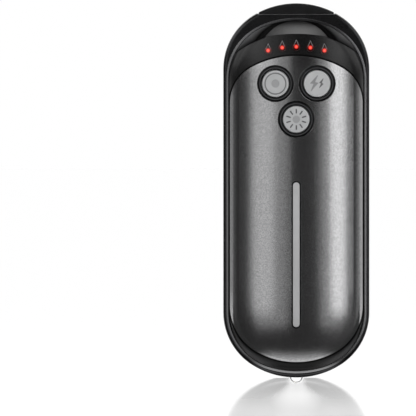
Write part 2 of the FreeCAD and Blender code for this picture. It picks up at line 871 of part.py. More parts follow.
def drop_sketch(name, grow="0"):
    """Five pointed drops side by side on a shallow arc."""
    sketch = DOC.addObject("Sketcher::SketchObject", name)
    radius = f"drop_radius + ({grow})"
    point = f"drop_point + 2 * ({grow})"
    lean = math.acos(number(radius) / number(point))
    for order in range(5):
        across = f"{order - 2} * drop_pitch"
        up = f"top - drop_below_top - (drop_arc - sqrt(drop_arc ^ 2 - ({across}) ^ 2))"
        centre = flat(number(across), number(up))
        apex = centre + flat(0, number(point))
        left = math.pi / 2 + lean
        right = math.pi / 2 - lean + 2 * math.pi
        curve = circle_arc(centre, number(radius), left, right)
        first = sketch.addGeometry(curve)
        sketch.addGeometry(Part.LineSegment(curve.EndPoint, apex))
        sketch.addGeometry(Part.LineSegment(apex, curve.StartPoint))
        sketch.addConstraint([
            Sketcher.Constraint("Tangent", first, 2, first + 1, 1),
            Sketcher.Constraint("Coincident", first + 1, 2, first + 2, 1),
            Sketcher.Constraint("Tangent", first + 2, 2, first, 1),
            Sketcher.Constraint("Vertical", first, 3, first + 1, 2),
        ])
        add_limit(sketch, "Radius", radius, first)
        add_limit(sketch, "DistanceY", point, first, 3, first + 1, 2)
        set_point(sketch, first, 3, across, up)
    return sketch


def drop_prisms(name, span, grow="0"):
    """Solids behind the five drops, between two depths."""
    sketch = move(drop_sketch(name + "_outline", grow), y=span[0], turn="front")
    return extrude(name, sketch, VECTOR(0, 1, 0), f"({span[1]}) - ({span[0]})")


def build_front_housing():
    """Moulding behind the face plate, with the indicator panel and the lanyard lug."""
    pocket_span = ("front - 1", "front + plate_reach + plate_gap")
    pocket_prism = arch_prism("plate_pocket_prism", "plate", pocket_span, "plate_gap")
    pocket = cut("plate_pocket", pocket_prism, FRONT_FILM_SOLID)
    keep = cut(
        "pocket_keep",
        box("pocket_keep_room", centred("half_width"), ("front - 1", "pocket_back"), ("panel_z", "top")),
        rod(
            "pocket_keep_disc",
            "y",
            "2 * (panel_radius - wall_thick)",
            ("0", "panel_z"),
            ("front - 2", "frame_rear"),
        ),
    )
    shell = cut("front_shell", FRONT_SOLID, cut("front_cavity", FRONT_WALL_SOLID, keep), pocket)
    shaped = cut("front_shaped", shell, *lanyard_cuts())
    bosses = common(
        "front_bosses",
        fuse(
            "front_boss_rods",
            *rods_at("front_boss", HOUSING_SCREWS, "boss_diameter", ("front", "flange_mid")),
            *rods_at("board_boss", BOARD_SCREWS, "board_boss_diameter", ("front", "board_front")),
        ),
        FRONT_FILM_SOLID,
    )
    screw_hole = "screw_diameter + 2 * screw_gap"
    screw_span = ("-screw_head_depth - screw_head_thick - screw_length - 1", "flange_rear")
    board_hole = "board_screw_diameter + 2 * screw_gap"
    board_span = ("board_rear - board_screw_length - 1", "flange_rear")
    housing = cut(
        "front_housing_finished",
        fuse("front_with_bosses", shaped, bosses),
        *button_holes("housing_button_hole", "ring_diameter + 2 * fit_gap"),
        bar_slot("housing_bar_slot", "fit_gap"),
        drop_prisms("housing_drops", ("front - 1", "board_front"), "fit_gap / 2"),
        usb_notch("front_usb_notch"),
        torch_hole("front_torch_hole"),
        *rods_at("front_screw_hole", HOUSING_SCREWS, screw_hole, screw_span),
        *rods_at("front_board_hole", BOARD_SCREWS, board_hole, board_span),
        *rods_at("front_lead_hole", HEATER_LEADS, "lead_diameter + 2 * lead_hole_gap", FRONT_SPAN),
        rod(
            "thermistor_hole",
            "y",
            "lead_diameter + 2 * lead_hole_gap",
            ("heater_lead_x", "heater_lead_z"),
            FRONT_SPAN,
        ),
    )
    piece("front_housing", housing)


# Face plate and front heater
def build_front_plate():
    """Aluminium face plate and the heater film bonded behind it."""
    span = ("front - 1", "front + plate_reach")
    outline = arch_prism("front_plate_prism", "plate", span)
    plate = cut(
        "front_plate_finished",
        common("front_plate_block", FRONT_SOLID, outline),
        FRONT_PLATE_SOLID,
        *button_holes("plate_button_hole", "ring_diameter + 2 * plate_gap"),
        bar_slot("plate_bar_slot", "bar_slot_gap"),
    )
    piece("front_plate", plate)
    film_outline = arch_prism("front_film_prism", "plate", span, "-film_border")
    film = cut(
        "front_film_finished",
        common("front_film_block", FRONT_PLATE_SOLID, film_outline),
        FRONT_FILM_SOLID,
        *button_holes("film_button_hole", "ring_diameter + 2 * film_hole_gap"),
        bar_slot("film_bar_slot", "film_hole_gap"),
    )
    piece("front_heater", film)


# Rear housing, plate and heater
def build_rear():
    """Rear moulding with its screw tubes, the rear plate and the rear heater film."""
    reach = ("-rear_reach", "1")
    bezel = "-fit_gap - rear_bezel"
    pocket = cut(
        "rear_pocket",
        arch_prism("rear_pocket_prism", "inner", ("-rear_reach - plate_gap", "1"), f"{bezel} + plate_gap"),
        REAR_FILM_SOLID,
    )
    shell = cut("rear_shell", REAR_SOLID, REAR_WALL_SOLID, pocket)
    tubes = common(
        "rear_tubes",
        fuse("rear_tube_rods", *rods_at("rear_tube", HOUSING_SCREWS, "boss_diameter", ("flange_mid", "0"))),
        REAR_FILM_SOLID,
    )
    through = "screw_diameter + 4 * screw_gap"
    seat = "screw_head + 4 * screw_gap"
    head_span = ("-screw_head_depth - screw_head_thick", "0")
    lead_hole = "lead_diameter + 2 * lead_hole_gap"
    housing = cut(
        "rear_housing_finished",
        fuse("rear_with_tubes", shell, tubes),
        *rods_at("rear_screw_hole", HOUSING_SCREWS, through, ("frame_front", "0")),
        *rods_at("rear_head_seat", HOUSING_SCREWS, seat, head_span),
        *rods_at("rear_lead_hole", HEATER_LEADS, lead_hole, ("flange_rear", "0")),
        usb_notch("rear_usb_notch"),
        tether_hole("rear_tether_hole"),
        torch_hole("rear_torch_hole"),
    )
    piece("rear_housing", housing)
    plate = cut(
        "rear_plate_finished",
        common("rear_plate_block", REAR_SOLID, arch_prism("rear_plate_prism", "inner", reach, bezel)),
        REAR_PLATE_SOLID,
    )
    piece("rear_plate", plate)
    film_prism = arch_prism("rear_film_prism", "inner", reach, f"{bezel} - film_border")
    film = cut("rear_film_finished", common("rear_film_block", REAR_PLATE_SOLID, film_prism), REAR_FILM_SOLID)
    piece("rear_heater", film)


# Buttons
def build_button(key, spot):
    """Bezel ring, cap, push switch and plunger of one button."""
    long_span = ("front - 2", "ring_base")
    ring_body = fuse(
        f"{key}_ring_body",
        common(
            f"{key}_ring_top", rod(f"{key}_ring_rod", "y", "ring_diameter", spot, long_span), RING_TOP_SOLID
        ),
        common(
            f"{key}_collar", rod(f"{key}_collar_rod", "y", "ring_collar", spot, long_span), FRONT_CLEAR_SOLID
        ),
    )
    room = "cap_flange + 2 * cap_flange_gap"
    ring = cut(
        f"{key}_ring_finished",
        ring_body,
        rod(f"{key}_ring_bore", "y", "ring_bore", spot, ("front - 3", "ring_base + 1")),
        rod(f"{key}_ring_room", "y", room, spot, ("cap_shoulder_y", "ring_base + 1")),
    )
    piece(f"{key}_button_ring", ring)
    flange_top = "cap_shoulder_y + fit_gap"
    flange_base = f"{flange_top} + cap_flange_thick"
    cap = fuse(
        f"{key}_cap_finished",
        common(
            f"{key}_cap_top",
            rod(f"{key}_cap_rod", "y", "cap_diameter", spot, ("front - 2", flange_base)),
            CAP_TOP_SOLID,
        ),
        rod(f"{key}_cap_flange", "y", "cap_flange", spot, (flange_top, flange_base)),
        rod(f"{key}_cap_stem", "y", "cap_stem", spot, (flange_top, "plunger_top")),
    )
    piece(f"{key}_button_cap", cap)
    bore = "plunger_diameter + 2 * plunger_gap"
    bore_base = "switch_top + plunger_sunk + button_travel + plunger_gap"
    switch = cut(
        f"{key}_switch_finished",
        box(
            f"{key}_switch_body",
            centred("switch_side / 2", spot[0]),
            ("switch_top", "board_front"),
            centred("switch_side / 2", spot[1]),
        ),
        rod(f"{key}_switch_bore", "y", bore, spot, ("switch_top - 1", bore_base)),
    )
    piece(f"{key}_switch", switch)
    plunger_span = ("plunger_top", "switch_top + plunger_sunk")
    piece(f"{key}_switch_plunger", rod(f"{key}_plunger", "y", "plunger_diameter", spot, plunger_span))


# Indicator windows and LEDs
def build_indicators():
    """Clear drop-shaped light guides and the LEDs behind them."""
    guide_base = "board_front - chip_led_thick - board_gap"
    guides = common("drop_guides", drop_prisms("drop_rods", ("front - 1", guide_base)), FRONT_SOLID)
    piece("indicator_windows", guides)
    leds = []
    for order in range(5):
        across = f"{order - 2} * drop_pitch"
        up = f"top - drop_below_top - (drop_arc - sqrt(drop_arc ^ 2 - ({across}) ^ 2))"
        leds.append(
            box(
                "indicator_led",
                centred("chip_led_width / 2", across),
                ("board_front - chip_led_thick", "board_front"),
                centred("chip_led_length / 2", up),
            )
        )
    piece("indicator_leds", group("indicator_led_group", *leds))


# Light bar
def build_light_bar():
    """Diffuser flush with the face plate, its LEDs and their board."""
    rib = capsule("bar_rib", "y", "bar_width / 2", ("bar_end", "bar_top"), "0", ("front - 1", "bar_foot_y"))
    foot_z = ("bar_end - bar_foot_extra", "bar_top + bar_foot_extra")
    foot_x = centred("bar_foot_width / 2")
    diffuser = fuse(
        "bar_diffuser",
        common("bar_rib_trimmed", rib, FRONT_SOLID),
        common("bar_foot", box("bar_foot_room", foot_x, ("front", "bar_foot_y"), foot_z), FRONT_CLEAR_SOLID),
    )
    piece("light_bar", diffuser)
    count = int(number("bar_led_count"))
    leds = []
    for order in range(count):
        up = f"bar_end + bar_length * ({order} + 0.5) / bar_led_count"
        leds.append(
            box(
                "bar_led",
                centred("bar_led_width / 2"),
                ("bar_foot_y", "bar_board_front"),
                centred("bar_led_length / 2", up),
            )
        )
    piece("light_bar_leds", group("bar_led_group", *leds))
    piece("light_bar_board", box("bar_board", foot_x, ("bar_board_front", "bar_board_rear"), foot_z))


# Torch
def build_torch():
    """Domed lens at the lower end, its LED, board and holder."""
    radius = "lens_diameter / 2"
    tip = "foot - lens_proud"
    spot = ("0", "torch_y")
    dome = DOC.addObject("Part::Sphere", "lens_dome")
    bind(dome, Radius=radius)
    move(dome, "0", "torch_y", f"{tip} + {radius}")
    barrel = rod("lens_barrel", "z", "lens_diameter", spot, (f"{tip} + {radius}", "torch_led_base"))
    foot = rod("lens_foot", "z", "lens_foot_diameter", spot, ("lens_seat - 1", "torch_led_base"))
    piece("torch_lens", fuse("lens", dome, barrel, common("lens_foot_trimmed", foot, FRONT_CLEAR_SOLID)))
    led_half = "torch_led_side / 2"
    board_half = "torch_board_side / 2"
    led_x = centred(led_half)
    led_y = centred(led_half, "torch_y")
    piece("torch_led", box("torch_led_box", led_x, led_y, ("torch_led_base", "torch_board_base")))
    board_x = centred(board_half)
    board_y = centred(board_half, "torch_y")
    piece("torch_board", box("torch_board_box", board_x, board_y, ("torch_board_base", "torch_board_top")))
    holder_half = "torch_holder_side / 2"
    bore = "lens_foot_diameter + 2 * fit_gap"
    holder = cut(
        "torch_holder_finished",
        box(
            "torch_holder_block",
            centred(holder_half),
            centred(holder_half, "torch_y"),
            ("lens_seat - 1", "torch_board_top"),
        ),
        rod("holder_bore", "z", bore, spot, ("lens_seat - 2", "torch_board_base")),
        box(
            "holder_board_seat",
            centred(f"{board_half} + fit_gap"),
            centred(f"{board_half} + fit_gap", "torch_y"),
            ("torch_board_base", "torch_board_top + 1"),
        ),
    )
    piece("torch_holder", common("torch_holder_trimmed", holder, FRONT_CLEAR_SOLID))


# Main board
def build_main_board():
    """Main board with its neck for the socket, the socket and the larger components."""
    neck = "board_neck / 2"
    neck_top = "inner_tip_top - neck_drop"
    body = padded(
        "main_board_body",
        "XZ_Plane",
        [
            ("-board_half", "board_foot"),
            ("board_half", "board_foot"),
            ("board_half", "board_top - board_corner"),
            ("board_half - board_corner", "board_top"),
            (neck, "board_top"),
            (neck, neck_top),
            (f"-{neck}", neck_top),
            (f"-{neck}", "board_top"),
            ("-board_half + board_corner", "board_top"),
            ("-board_half", "board_top - board_corner"),
        ],
        "board_thick",
    )
    move(body, y="board_rear")
    hole = "board_screw_diameter + 4 * screw_gap"
    holes = rods_at("board_screw_hole", BOARD_SCREWS, hole, ("frame_front", "0"))
    piece("main_board", cut("main_board_finished", body, *holes))
    outer = capsule(
        "usb_outer", "z", "usb_height / 2", centred("usb_width / 2"), "usb_y", ("usb_back", "usb_mouth")
    )
    inner = capsule(
        "usb_inner",
        "z",
        "usb_height / 2 - usb_wall",
        centred("usb_width / 2 - usb_wall"),
        "usb_y",
        ("usb_back + 1", "usb_mouth + 1"),
    )
    piece("usb_shell", cut("usb_shell_finished", outer, inner))
    tongue = box(
        "usb_tongue_box",
        centred("tongue_width / 2"),
        centred("tongue_thick / 2", "usb_y"),
        ("usb_back + 1", "usb_mouth - tongue_sunk"),
    )
    piece("usb_tongue", tongue)
    chip_half = "chip_side / 2"
    chip_front = ("board_front - chip_thick", "board_front")
    chip_rear = ("board_rear", "board_rear + chip_thick")
    chip_z = "button_row_z + switch_side / 2 + chip_gap + chip_side / 2"
    piece("control_chip", box("control_chip_box", centred(chip_half), chip_front, centred(chip_half, chip_z)))
    charge_x = centred(chip_half, "-board_half * 2 / 5")
    charge_chips = [
        box("charge_chip", charge_x, chip_rear, centred(chip_half, row))
        for row in ("button_low_z", "button_row_z")
    ]
    piece("charge_chips", group("charge_chip_group", *charge_chips))
    inductor = box(
        "inductor_box",
        centred("inductor_side / 2", "board_half / 2"),
        ("board_rear", "board_rear + inductor_height"),
        centred("inductor_side / 2", "(button_low_z + button_row_z) / 2"),
    )
    piece("power_inductor", inductor)


# Battery
def build_battery():
    """Pouch cell, the pad it rests on and the protection board on its upper edge."""
    cell = padded(
        "battery_body",
        "XY_Plane",
        [
            ("-battery_half", "battery_front"),
            ("battery_half", "battery_front"),
            ("battery_half", "battery_rear"),
            ("-battery_half", "battery_rear"),
        ],
        "battery_top - battery_foot",
    )
    move(cell, z="battery_foot")
    DOC.recompute()
    pad = cell.Tip
    sides = [
        f"Edge{order}"
        for order, edge in enumerate(pad.Shape.Edges, 1)
        if edge.BoundBox.ZMax - edge.BoundBox.ZMin > number("battery_top - battery_foot") / 2
    ]
    smooth = cell.newObject("PartDesign::Fillet", "battery_smooth")
    smooth.Base = (pad, sides)
    bind(smooth, Radius="battery_round")
    cell.Tip = smooth
    piece("battery_cell", cell)
    foam = box(
        "battery_foam",
        centred("battery_half - pad_inset"),
        ("battery_rear", "-wall_inset"),
        ("battery_foot + pad_inset", "battery_top - pad_inset"),
    )
    piece("battery_pad", foam)
    guard = box(
        "battery_guard",
        centred("guard_width / 2"),
        centred("guard_depth / 2", "guard_y"),
        ("battery_top", "guard_top"),
    )
    piece("battery_board", guard)


# Screws
def screw(name, spot, head_back, diameter, head, head_thick, length):
    """Pan head screw whose shank points to the front."""
    body = turned(
        name,
        [
            ("0", "0"),
            (f"{head} / 2", "0"),
            (f"{head} / 2", head_thick),
            (f"{diameter} / 2", head_thick),
            (f"{diameter} / 2", f"{head_thick} + {length}"),
            ("0", f"{head_thick} + {length}"),
        ],
    )
    return move(body, spot[0], head_back, spot[1], turn="front")


def build_screws():
    """Screws that close the housings and screws that hold the main board."""
    closing = [
        screw(
            f"housing_screw_{order}",
            spot,
            "-screw_head_depth",
            "screw_diameter",
            "screw_head",
            "screw_head_thick",
            "screw_length",
        )
        for order, spot in enumerate(HOUSING_SCREWS, 1)
    ]
    piece("housing_screws", group("housing_screw_group", *closing))
    holding = [
        screw(
            f"board_screw_{order}",
            spot,
            "board_rear + chip_thick",
            "board_screw_diameter",
            "board_screw_head",
            "chip_thick",
            "board_screw_length",
        )
        for order, spot in enumerate(BOARD_SCREWS, 1)
    ]
    piece("board_screws", group("board_screw_group", *holding))


# Leads
def lead(points):
    """Round wire through points, with every corner bent to the same radius."""
    bend = number("lead_bend")
    radius = number("lead_diameter / 2")
    spots = [VECTOR(*(number(part) for part in point)) for point in points]
    edges = []
    start = spots[0]
    for before, corner, after in zip(spots, spots[1:], spots[2:]):
        into = (corner - before).normalize()
        out = (after - corner).normalize()
        half_turn = into.getAngle(out) / 2
        setback = bend * math.tan(half_turn)
        enter = corner - into * setback
        leave = corner + out * setback
        inward = (out - into).normalize()
        centre = corner + inward * (bend / math.cos(half_turn))
        middle = centre - inward * bend
        edges.append(Part.LineSegment(start, enter).toShape())
        edges.append(Part.Arc(enter, middle, leave).toShape())
        start = leave
    edges.append(Part.LineSegment(start, spots[-1]).toShape())
    path = Part.Wire(edges)
    ring = Part.Wire(Part.Circle(spots[0], spots[1] - spots[0], radius).toShape())
    return path.makePipeShell([ring], True, False)


def lead_group(label, routes):
    """Wires of one kind as a piece."""
    item = DOC.addObject("Part::Feature", label)
    item.Shape = Part.Compound([lead(route) for route in routes])
    piece(label, item)


def build_leads():
    """Wires between the battery, the boards and the heaters."""
    sides = ("-1", "1")
    lead_group(
        "battery_leads",
        [
            [
                (f"{side} * battery_lead_spread", "guard_y", "guard_top"),
                (f"{side} * battery_lead_spread", "guard_y", "board_foot + battery_lead_rise"),
                (f"{side} * battery_lead_spread", "board_rear", "board_foot + battery_lead_rise"),
            ]
            for side in sides
        ],
    )
    front_run = "battery_front - torch_lead_run"
    bar_run = "bar_board_rear + bar_lead_run"
    lead_group(
        "torch_leads",
        [
            [
                (f"{side} * torch_lead_spread", "torch_y", "torch_board_top"),
                (f"{side} * torch_lead_spread", "torch_y", "torch_board_top + torch_lead_drop"),
                (f"{side} * torch_lead_spread", front_run, "torch_board_top + torch_lead_drop"),
                (f"{side} * torch_lead_spread", front_run, "board_foot + torch_lead_rise"),
                (f"{side} * torch_lead_spread", "board_front", "board_foot + torch_lead_rise"),
            ]
            for side in sides
        ],
    )
    lead_group(
        "light_bar_leads",
        [
            [
                (f"{side} * bar_lead_spread", "bar_board_rear", "bar_top - bar_lead_drop"),
                (f"{side} * bar_lead_spread", bar_run, "bar_top - bar_lead_drop"),
                (f"{side} * bar_lead_spread", bar_run, "board_foot + bar_lead_rise"),
                (f"{side} * bar_lead_spread", "board_front", "board_foot + bar_lead_rise"),
            ]
            for side in sides
        ],
    )
    front_leads = rods_at("front_heater_lead", HEATER_LEADS, "lead_diameter", ("front", "board_front"))
    trimmed = [common("front_heater_lead_trimmed", item, FRONT_FILM_SOLID) for item in front_leads]
    piece("front_heater_leads", group("front_heater_lead_group", *trimmed))
    rear_leads = rods_at("rear_heater_lead", HEATER_LEADS, "lead_diameter", ("board_rear", "-film_inset"))
    piece("rear_heater_leads", group("rear_heater_lead_group", *rear_leads))
    sensor = rod(
        "thermistor_rod", "y", "lead_diameter", ("heater_lead_x", "heater_lead_z"), ("front", "board_front")
    )
    piece("thermistor", common("thermistor_trimmed", sensor, FRONT_FILM_SOLID))


def write_pieces():
    """Check every object and write one file for each piece."""
    DOC.recompute()
    for item in DOC.Objects:
        if "Invalid" in item.State or "Error" in item.State:
            raise RuntimeError(f"{item.Name} did not build: {item.State}")
    os.makedirs("parts", exist_ok=True)
    for item in PIECES:
        if item.Shape.isNull() or not item.Shape.isValid():
            raise RuntimeError(f"{item.Label} has no valid shape")
        item.Shape.exportStep(f"parts/{item.Label}.step")


FRAME_OUTSIDE = build_mid_frame()
build_port_cover(FRAME_OUTSIDE)
build_front_housing()
build_front_plate()
build_rear()
for button_key, button_spot in BUTTONS.items():
    build_button(button_key, button_spot)
build_indicators()
build_light_bar()
build_torch()
build_main_board()
build_battery()
build_screws()
build_leads()
write_pieces()
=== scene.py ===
"""Looks of a pocket hand warmer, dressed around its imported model.

Lengths are metres in the model's own frame: x to the right, y to the back and z up along the body.
"""
from __future__ import annotations

import json
import logging
import math
from dataclasses import dataclass, field
from enum import Enum
from typing import Any, Mapping, Sequence, Union

import bmesh
import bpy
import numpy as np
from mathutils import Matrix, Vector

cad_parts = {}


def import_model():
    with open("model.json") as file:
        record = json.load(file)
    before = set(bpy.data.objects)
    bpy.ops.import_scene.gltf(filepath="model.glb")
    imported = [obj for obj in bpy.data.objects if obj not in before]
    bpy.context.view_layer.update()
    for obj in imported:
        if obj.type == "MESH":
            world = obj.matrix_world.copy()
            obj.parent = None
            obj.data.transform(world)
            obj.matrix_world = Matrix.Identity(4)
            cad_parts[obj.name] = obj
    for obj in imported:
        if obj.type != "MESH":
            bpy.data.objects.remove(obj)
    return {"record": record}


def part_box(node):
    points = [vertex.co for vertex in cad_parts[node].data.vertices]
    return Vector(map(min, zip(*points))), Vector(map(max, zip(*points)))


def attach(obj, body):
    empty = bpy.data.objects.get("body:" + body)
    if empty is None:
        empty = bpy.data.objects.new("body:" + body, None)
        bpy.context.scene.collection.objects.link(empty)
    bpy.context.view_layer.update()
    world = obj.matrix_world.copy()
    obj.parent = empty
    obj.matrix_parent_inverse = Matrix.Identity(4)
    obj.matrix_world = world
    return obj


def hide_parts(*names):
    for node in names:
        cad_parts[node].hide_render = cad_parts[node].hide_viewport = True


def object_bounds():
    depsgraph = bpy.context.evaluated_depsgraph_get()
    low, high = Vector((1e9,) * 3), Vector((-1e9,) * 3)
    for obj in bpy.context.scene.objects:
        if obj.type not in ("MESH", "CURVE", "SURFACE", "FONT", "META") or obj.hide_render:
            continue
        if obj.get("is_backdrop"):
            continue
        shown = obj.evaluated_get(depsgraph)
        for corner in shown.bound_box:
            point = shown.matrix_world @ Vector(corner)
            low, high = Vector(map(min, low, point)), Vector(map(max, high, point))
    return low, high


Array = np.ndarray
Colour = tuple[float, float, float]
MM = 0.001
LOG = logging.getLogger("hand_warmer")
WHITE = (1.0, 1.0, 1.0, 1.0)


# Shader expressions


class Value:
    """A number or a colour inside a shader, which Python arithmetic turns into nodes."""

    def __init__(self, graph: "Graph", socket: bpy.types.NodeSocket) -> None:
        """Wrap one output socket of a graph."""
        self.graph = graph
        self.socket = socket

    def __add__(self, other: "Number") -> "Value":
        """Sum."""
        return self.graph.maths("ADD", self, other)

    def __sub__(self, other: "Number") -> "Value":
        """Difference."""
        return self.graph.maths("SUBTRACT", self, other)

    def __rsub__(self, other: "Number") -> "Value":
        """Difference from a plain number."""
        return self.graph.maths("SUBTRACT", other, self)

    def __mul__(self, other: "Number") -> "Value":
        """Product."""
        return self.graph.maths("MULTIPLY", self, other)

    def __truediv__(self, other: "Number") -> "Value":
        """Quotient."""
        return self.graph.maths("DIVIDE", self, other)

    __radd__ = __add__
    __rmul__ = __mul__

    def root(self) -> "Value":
        """Square root."""
        return self.graph.maths("SQRT", self)

    def size(self) -> "Value":
        """Distance from zero."""
        return self.graph.maths("ABSOLUTE", self)

    def whole(self) -> "Value":
        """Nearest whole number."""
        return self.graph.maths("ROUND", self)

    def least(self, other: "Number") -> "Value":
        """Smaller of two values."""
        return self.graph.maths("MINIMUM", self, other)

    def most(self, other: "Number") -> "Value":
        """Larger of two values."""
        return self.graph.maths("MAXIMUM", self, other)

    def fade(self, start: float, end: float, low: float = 0.0, high: float = 1.0) -> "Value":
        """Smooth change from low at start to high at end.

        Args:
            start: Value at which the result is low.
            end: Value at which the result is high.
            low: Result at and before start.
            high: Result at and after end.

        Returns:
            The eased value.
        """
        settings = {"interpolation_type": "SMOOTHSTEP"}
        sockets = {0: self, 1: start, 2: end, 3: low, 4: high}
        return self.graph.node("ShaderNodeMapRange", settings, sockets)

    def stripes(self) -> "Value":
        """Soft on and off pattern that repeats at each whole number."""
        return (self.graph.maths("FRACT", self) - 0.5).size().fade(0.22, 0.28)


Number = Union[Value, float]
Input = Union[Value, float, Sequence[float]]


class Graph:
    """The node tree of one material or of the world."""

    def __init__(self, tree: bpy.types.NodeTree) -> None:
        """Start with an empty tree."""
        self.tree = tree
        tree.nodes.clear()

    def node(
        self,
        kind: str,
        settings: Mapping[str, Any] | None = None,
        sockets: Mapping[Union[str, int], Input] | None = None,
        outlet: Union[str, int] = 0,
    ) -> Value | None:
        """Add any node.

        Args:
            kind: Blender's type name of the node.
            settings: Properties that are set first.
            sockets: Values or links of the node's inputs.
            outlet: The output that is handed back.

        Returns:
            The chosen output as a value, or None for a node without outputs.
        """
        made = self.tree.nodes.new(kind)
        for key, setting in (settings or {}).items():
            setattr(made, key, setting)
        for key, content in (sockets or {}).items():
            if isinstance(content, Value):
                self.tree.links.new(content.socket, made.inputs[key])
            else:
                made.inputs[key].default_value = content
        return Value(self, made.outputs[outlet]) if made.outputs else None

    def maths(self, operation: str, first: Number, second: Number = 0.0) -> Value:
        """Add a Math node."""
        return self.node("ShaderNodeMath", {"operation": operation}, {0: first, 1: second})

    def mix(self, factor: Number, first: Input, second: Input) -> Value:
        """Blend two colours: factor 0 gives the first, 1 the second."""
        sockets = {0: factor, 6: self.opaque(first), 7: self.opaque(second)}
        return self.node("ShaderNodeMix", {"data_type": "RGBA"}, sockets, 2)

    @staticmethod
    def opaque(colour: Input) -> Input:
        """Add the fourth number to a plain colour."""
        return colour if isinstance(colour, Value) else (*colour, 1.0)

    def blend(self, share: Number, first: Value, second: Value) -> Value:
        """Mix two shaders."""
        return self.node("ShaderNodeMixShader", None, {0: share, 1: first, 2: second})

    def white(self, strength: float) -> Value:
        """Shader that shines white."""
        return self.node("ShaderNodeEmission", None, {"Color": WHITE, "Strength": strength})

    def rays(self) -> tuple[Value, Value]:
        """Whether a ray comes from the camera, and whether it comes from a shiny or a clear surface.

        Returns:
            Both as 0 or 1.
        """
        kinds = ("Is Camera Ray", "Is Glossy Ray", "Is Transmission Ray")
        camera, glossy, through = (self.node("ShaderNodeLightPath", outlet=kind) for kind in kinds)
        return camera, glossy.most(through)

    def split(self, vector: Value) -> tuple[Value, Value, Value]:
        """Three parts of a vector."""
        first = self.node("ShaderNodeSeparateXYZ", None, {0: vector})
        return tuple(Value(self, part) for part in first.socket.node.outputs)

    def here(self) -> Value:
        """Object coordinates."""
        return self.node("ShaderNodeTexCoord", outlet="Object")

    def place(self) -> tuple[Value, Value, Value]:
        """Object coordinates as three values."""
        return self.split(self.here())

    def noise(self, scale: float, detail: float, stretch: Sequence[float] = (1.0, 1.0, 1.0)) -> Value:
        """Cloudy pattern on Object coordinates.

        Args:
            scale: Cells to the metre.
            detail: Number of finer layers.
            stretch: Factor on the scale along each axis.

        Returns:
            A value from 0 to 1.
        """
        sockets = {"Vector": self.here(), "Scale": stretch}
        spread = self.node("ShaderNodeMapping", {"vector_type": "POINT"}, sockets)
        return self.node("ShaderNodeTexNoise", None, {"Vector": spread, "Scale": scale, "Detail": detail})

    def cells(self, scale: float) -> Value:
        """Crumbs of random shade from 0 to 1 on Object coordinates, so many to the metre."""
        colour = self.node("ShaderNodeTexVoronoi", None, {"Vector": self.here(), "Scale": scale}, "Color")
        return self.node("ShaderNodeSeparateColor", None, {0: colour}, 0)

    def bump(self, height: Value, depth: float, normal: Value | None) -> Value:
        """Turn a height into a normal.

        Args:
            height: Height from 0 to 1.
            depth: Metres between height 0 and 1.
            normal: Normal on which the relief lies, or None for the plain one.

        Returns:
            The bumped normal.
        """
        sockets = {"Height": height, "Distance": depth, "Strength": 1.0}
        under = {} if normal is None else {"Normal": normal}
        return self.node("ShaderNodeBump", None, {**sockets, **under})

    def surface(self, over: Value | None = None, share: Value | None = None, **sockets: Input) -> None:
        """Finish a material with one principled shader.

        Args:
            over: Another shader that lies over it, or None.
            share: Share of the other shader.
            sockets: Inputs of the principled shader; underscores in names stand for spaces.
        """
        named = {key.replace("_", " "): content for key, content in sockets.items()}
        shader = self.node("ShaderNodeBsdfPrincipled", None, named)
        if over is not None:
            shader = self.blend(share, shader, over)
        self.node("ShaderNodeOutputMaterial", None, {"Surface": shader})


def new_material(name: str) -> tuple[bpy.types.Material, Graph]:
    """A material with an empty tree, and that tree."""
    made = bpy.data.materials.new(name)
    made.use_nodes = True
    return made, Graph(made.node_tree)


# Finishes


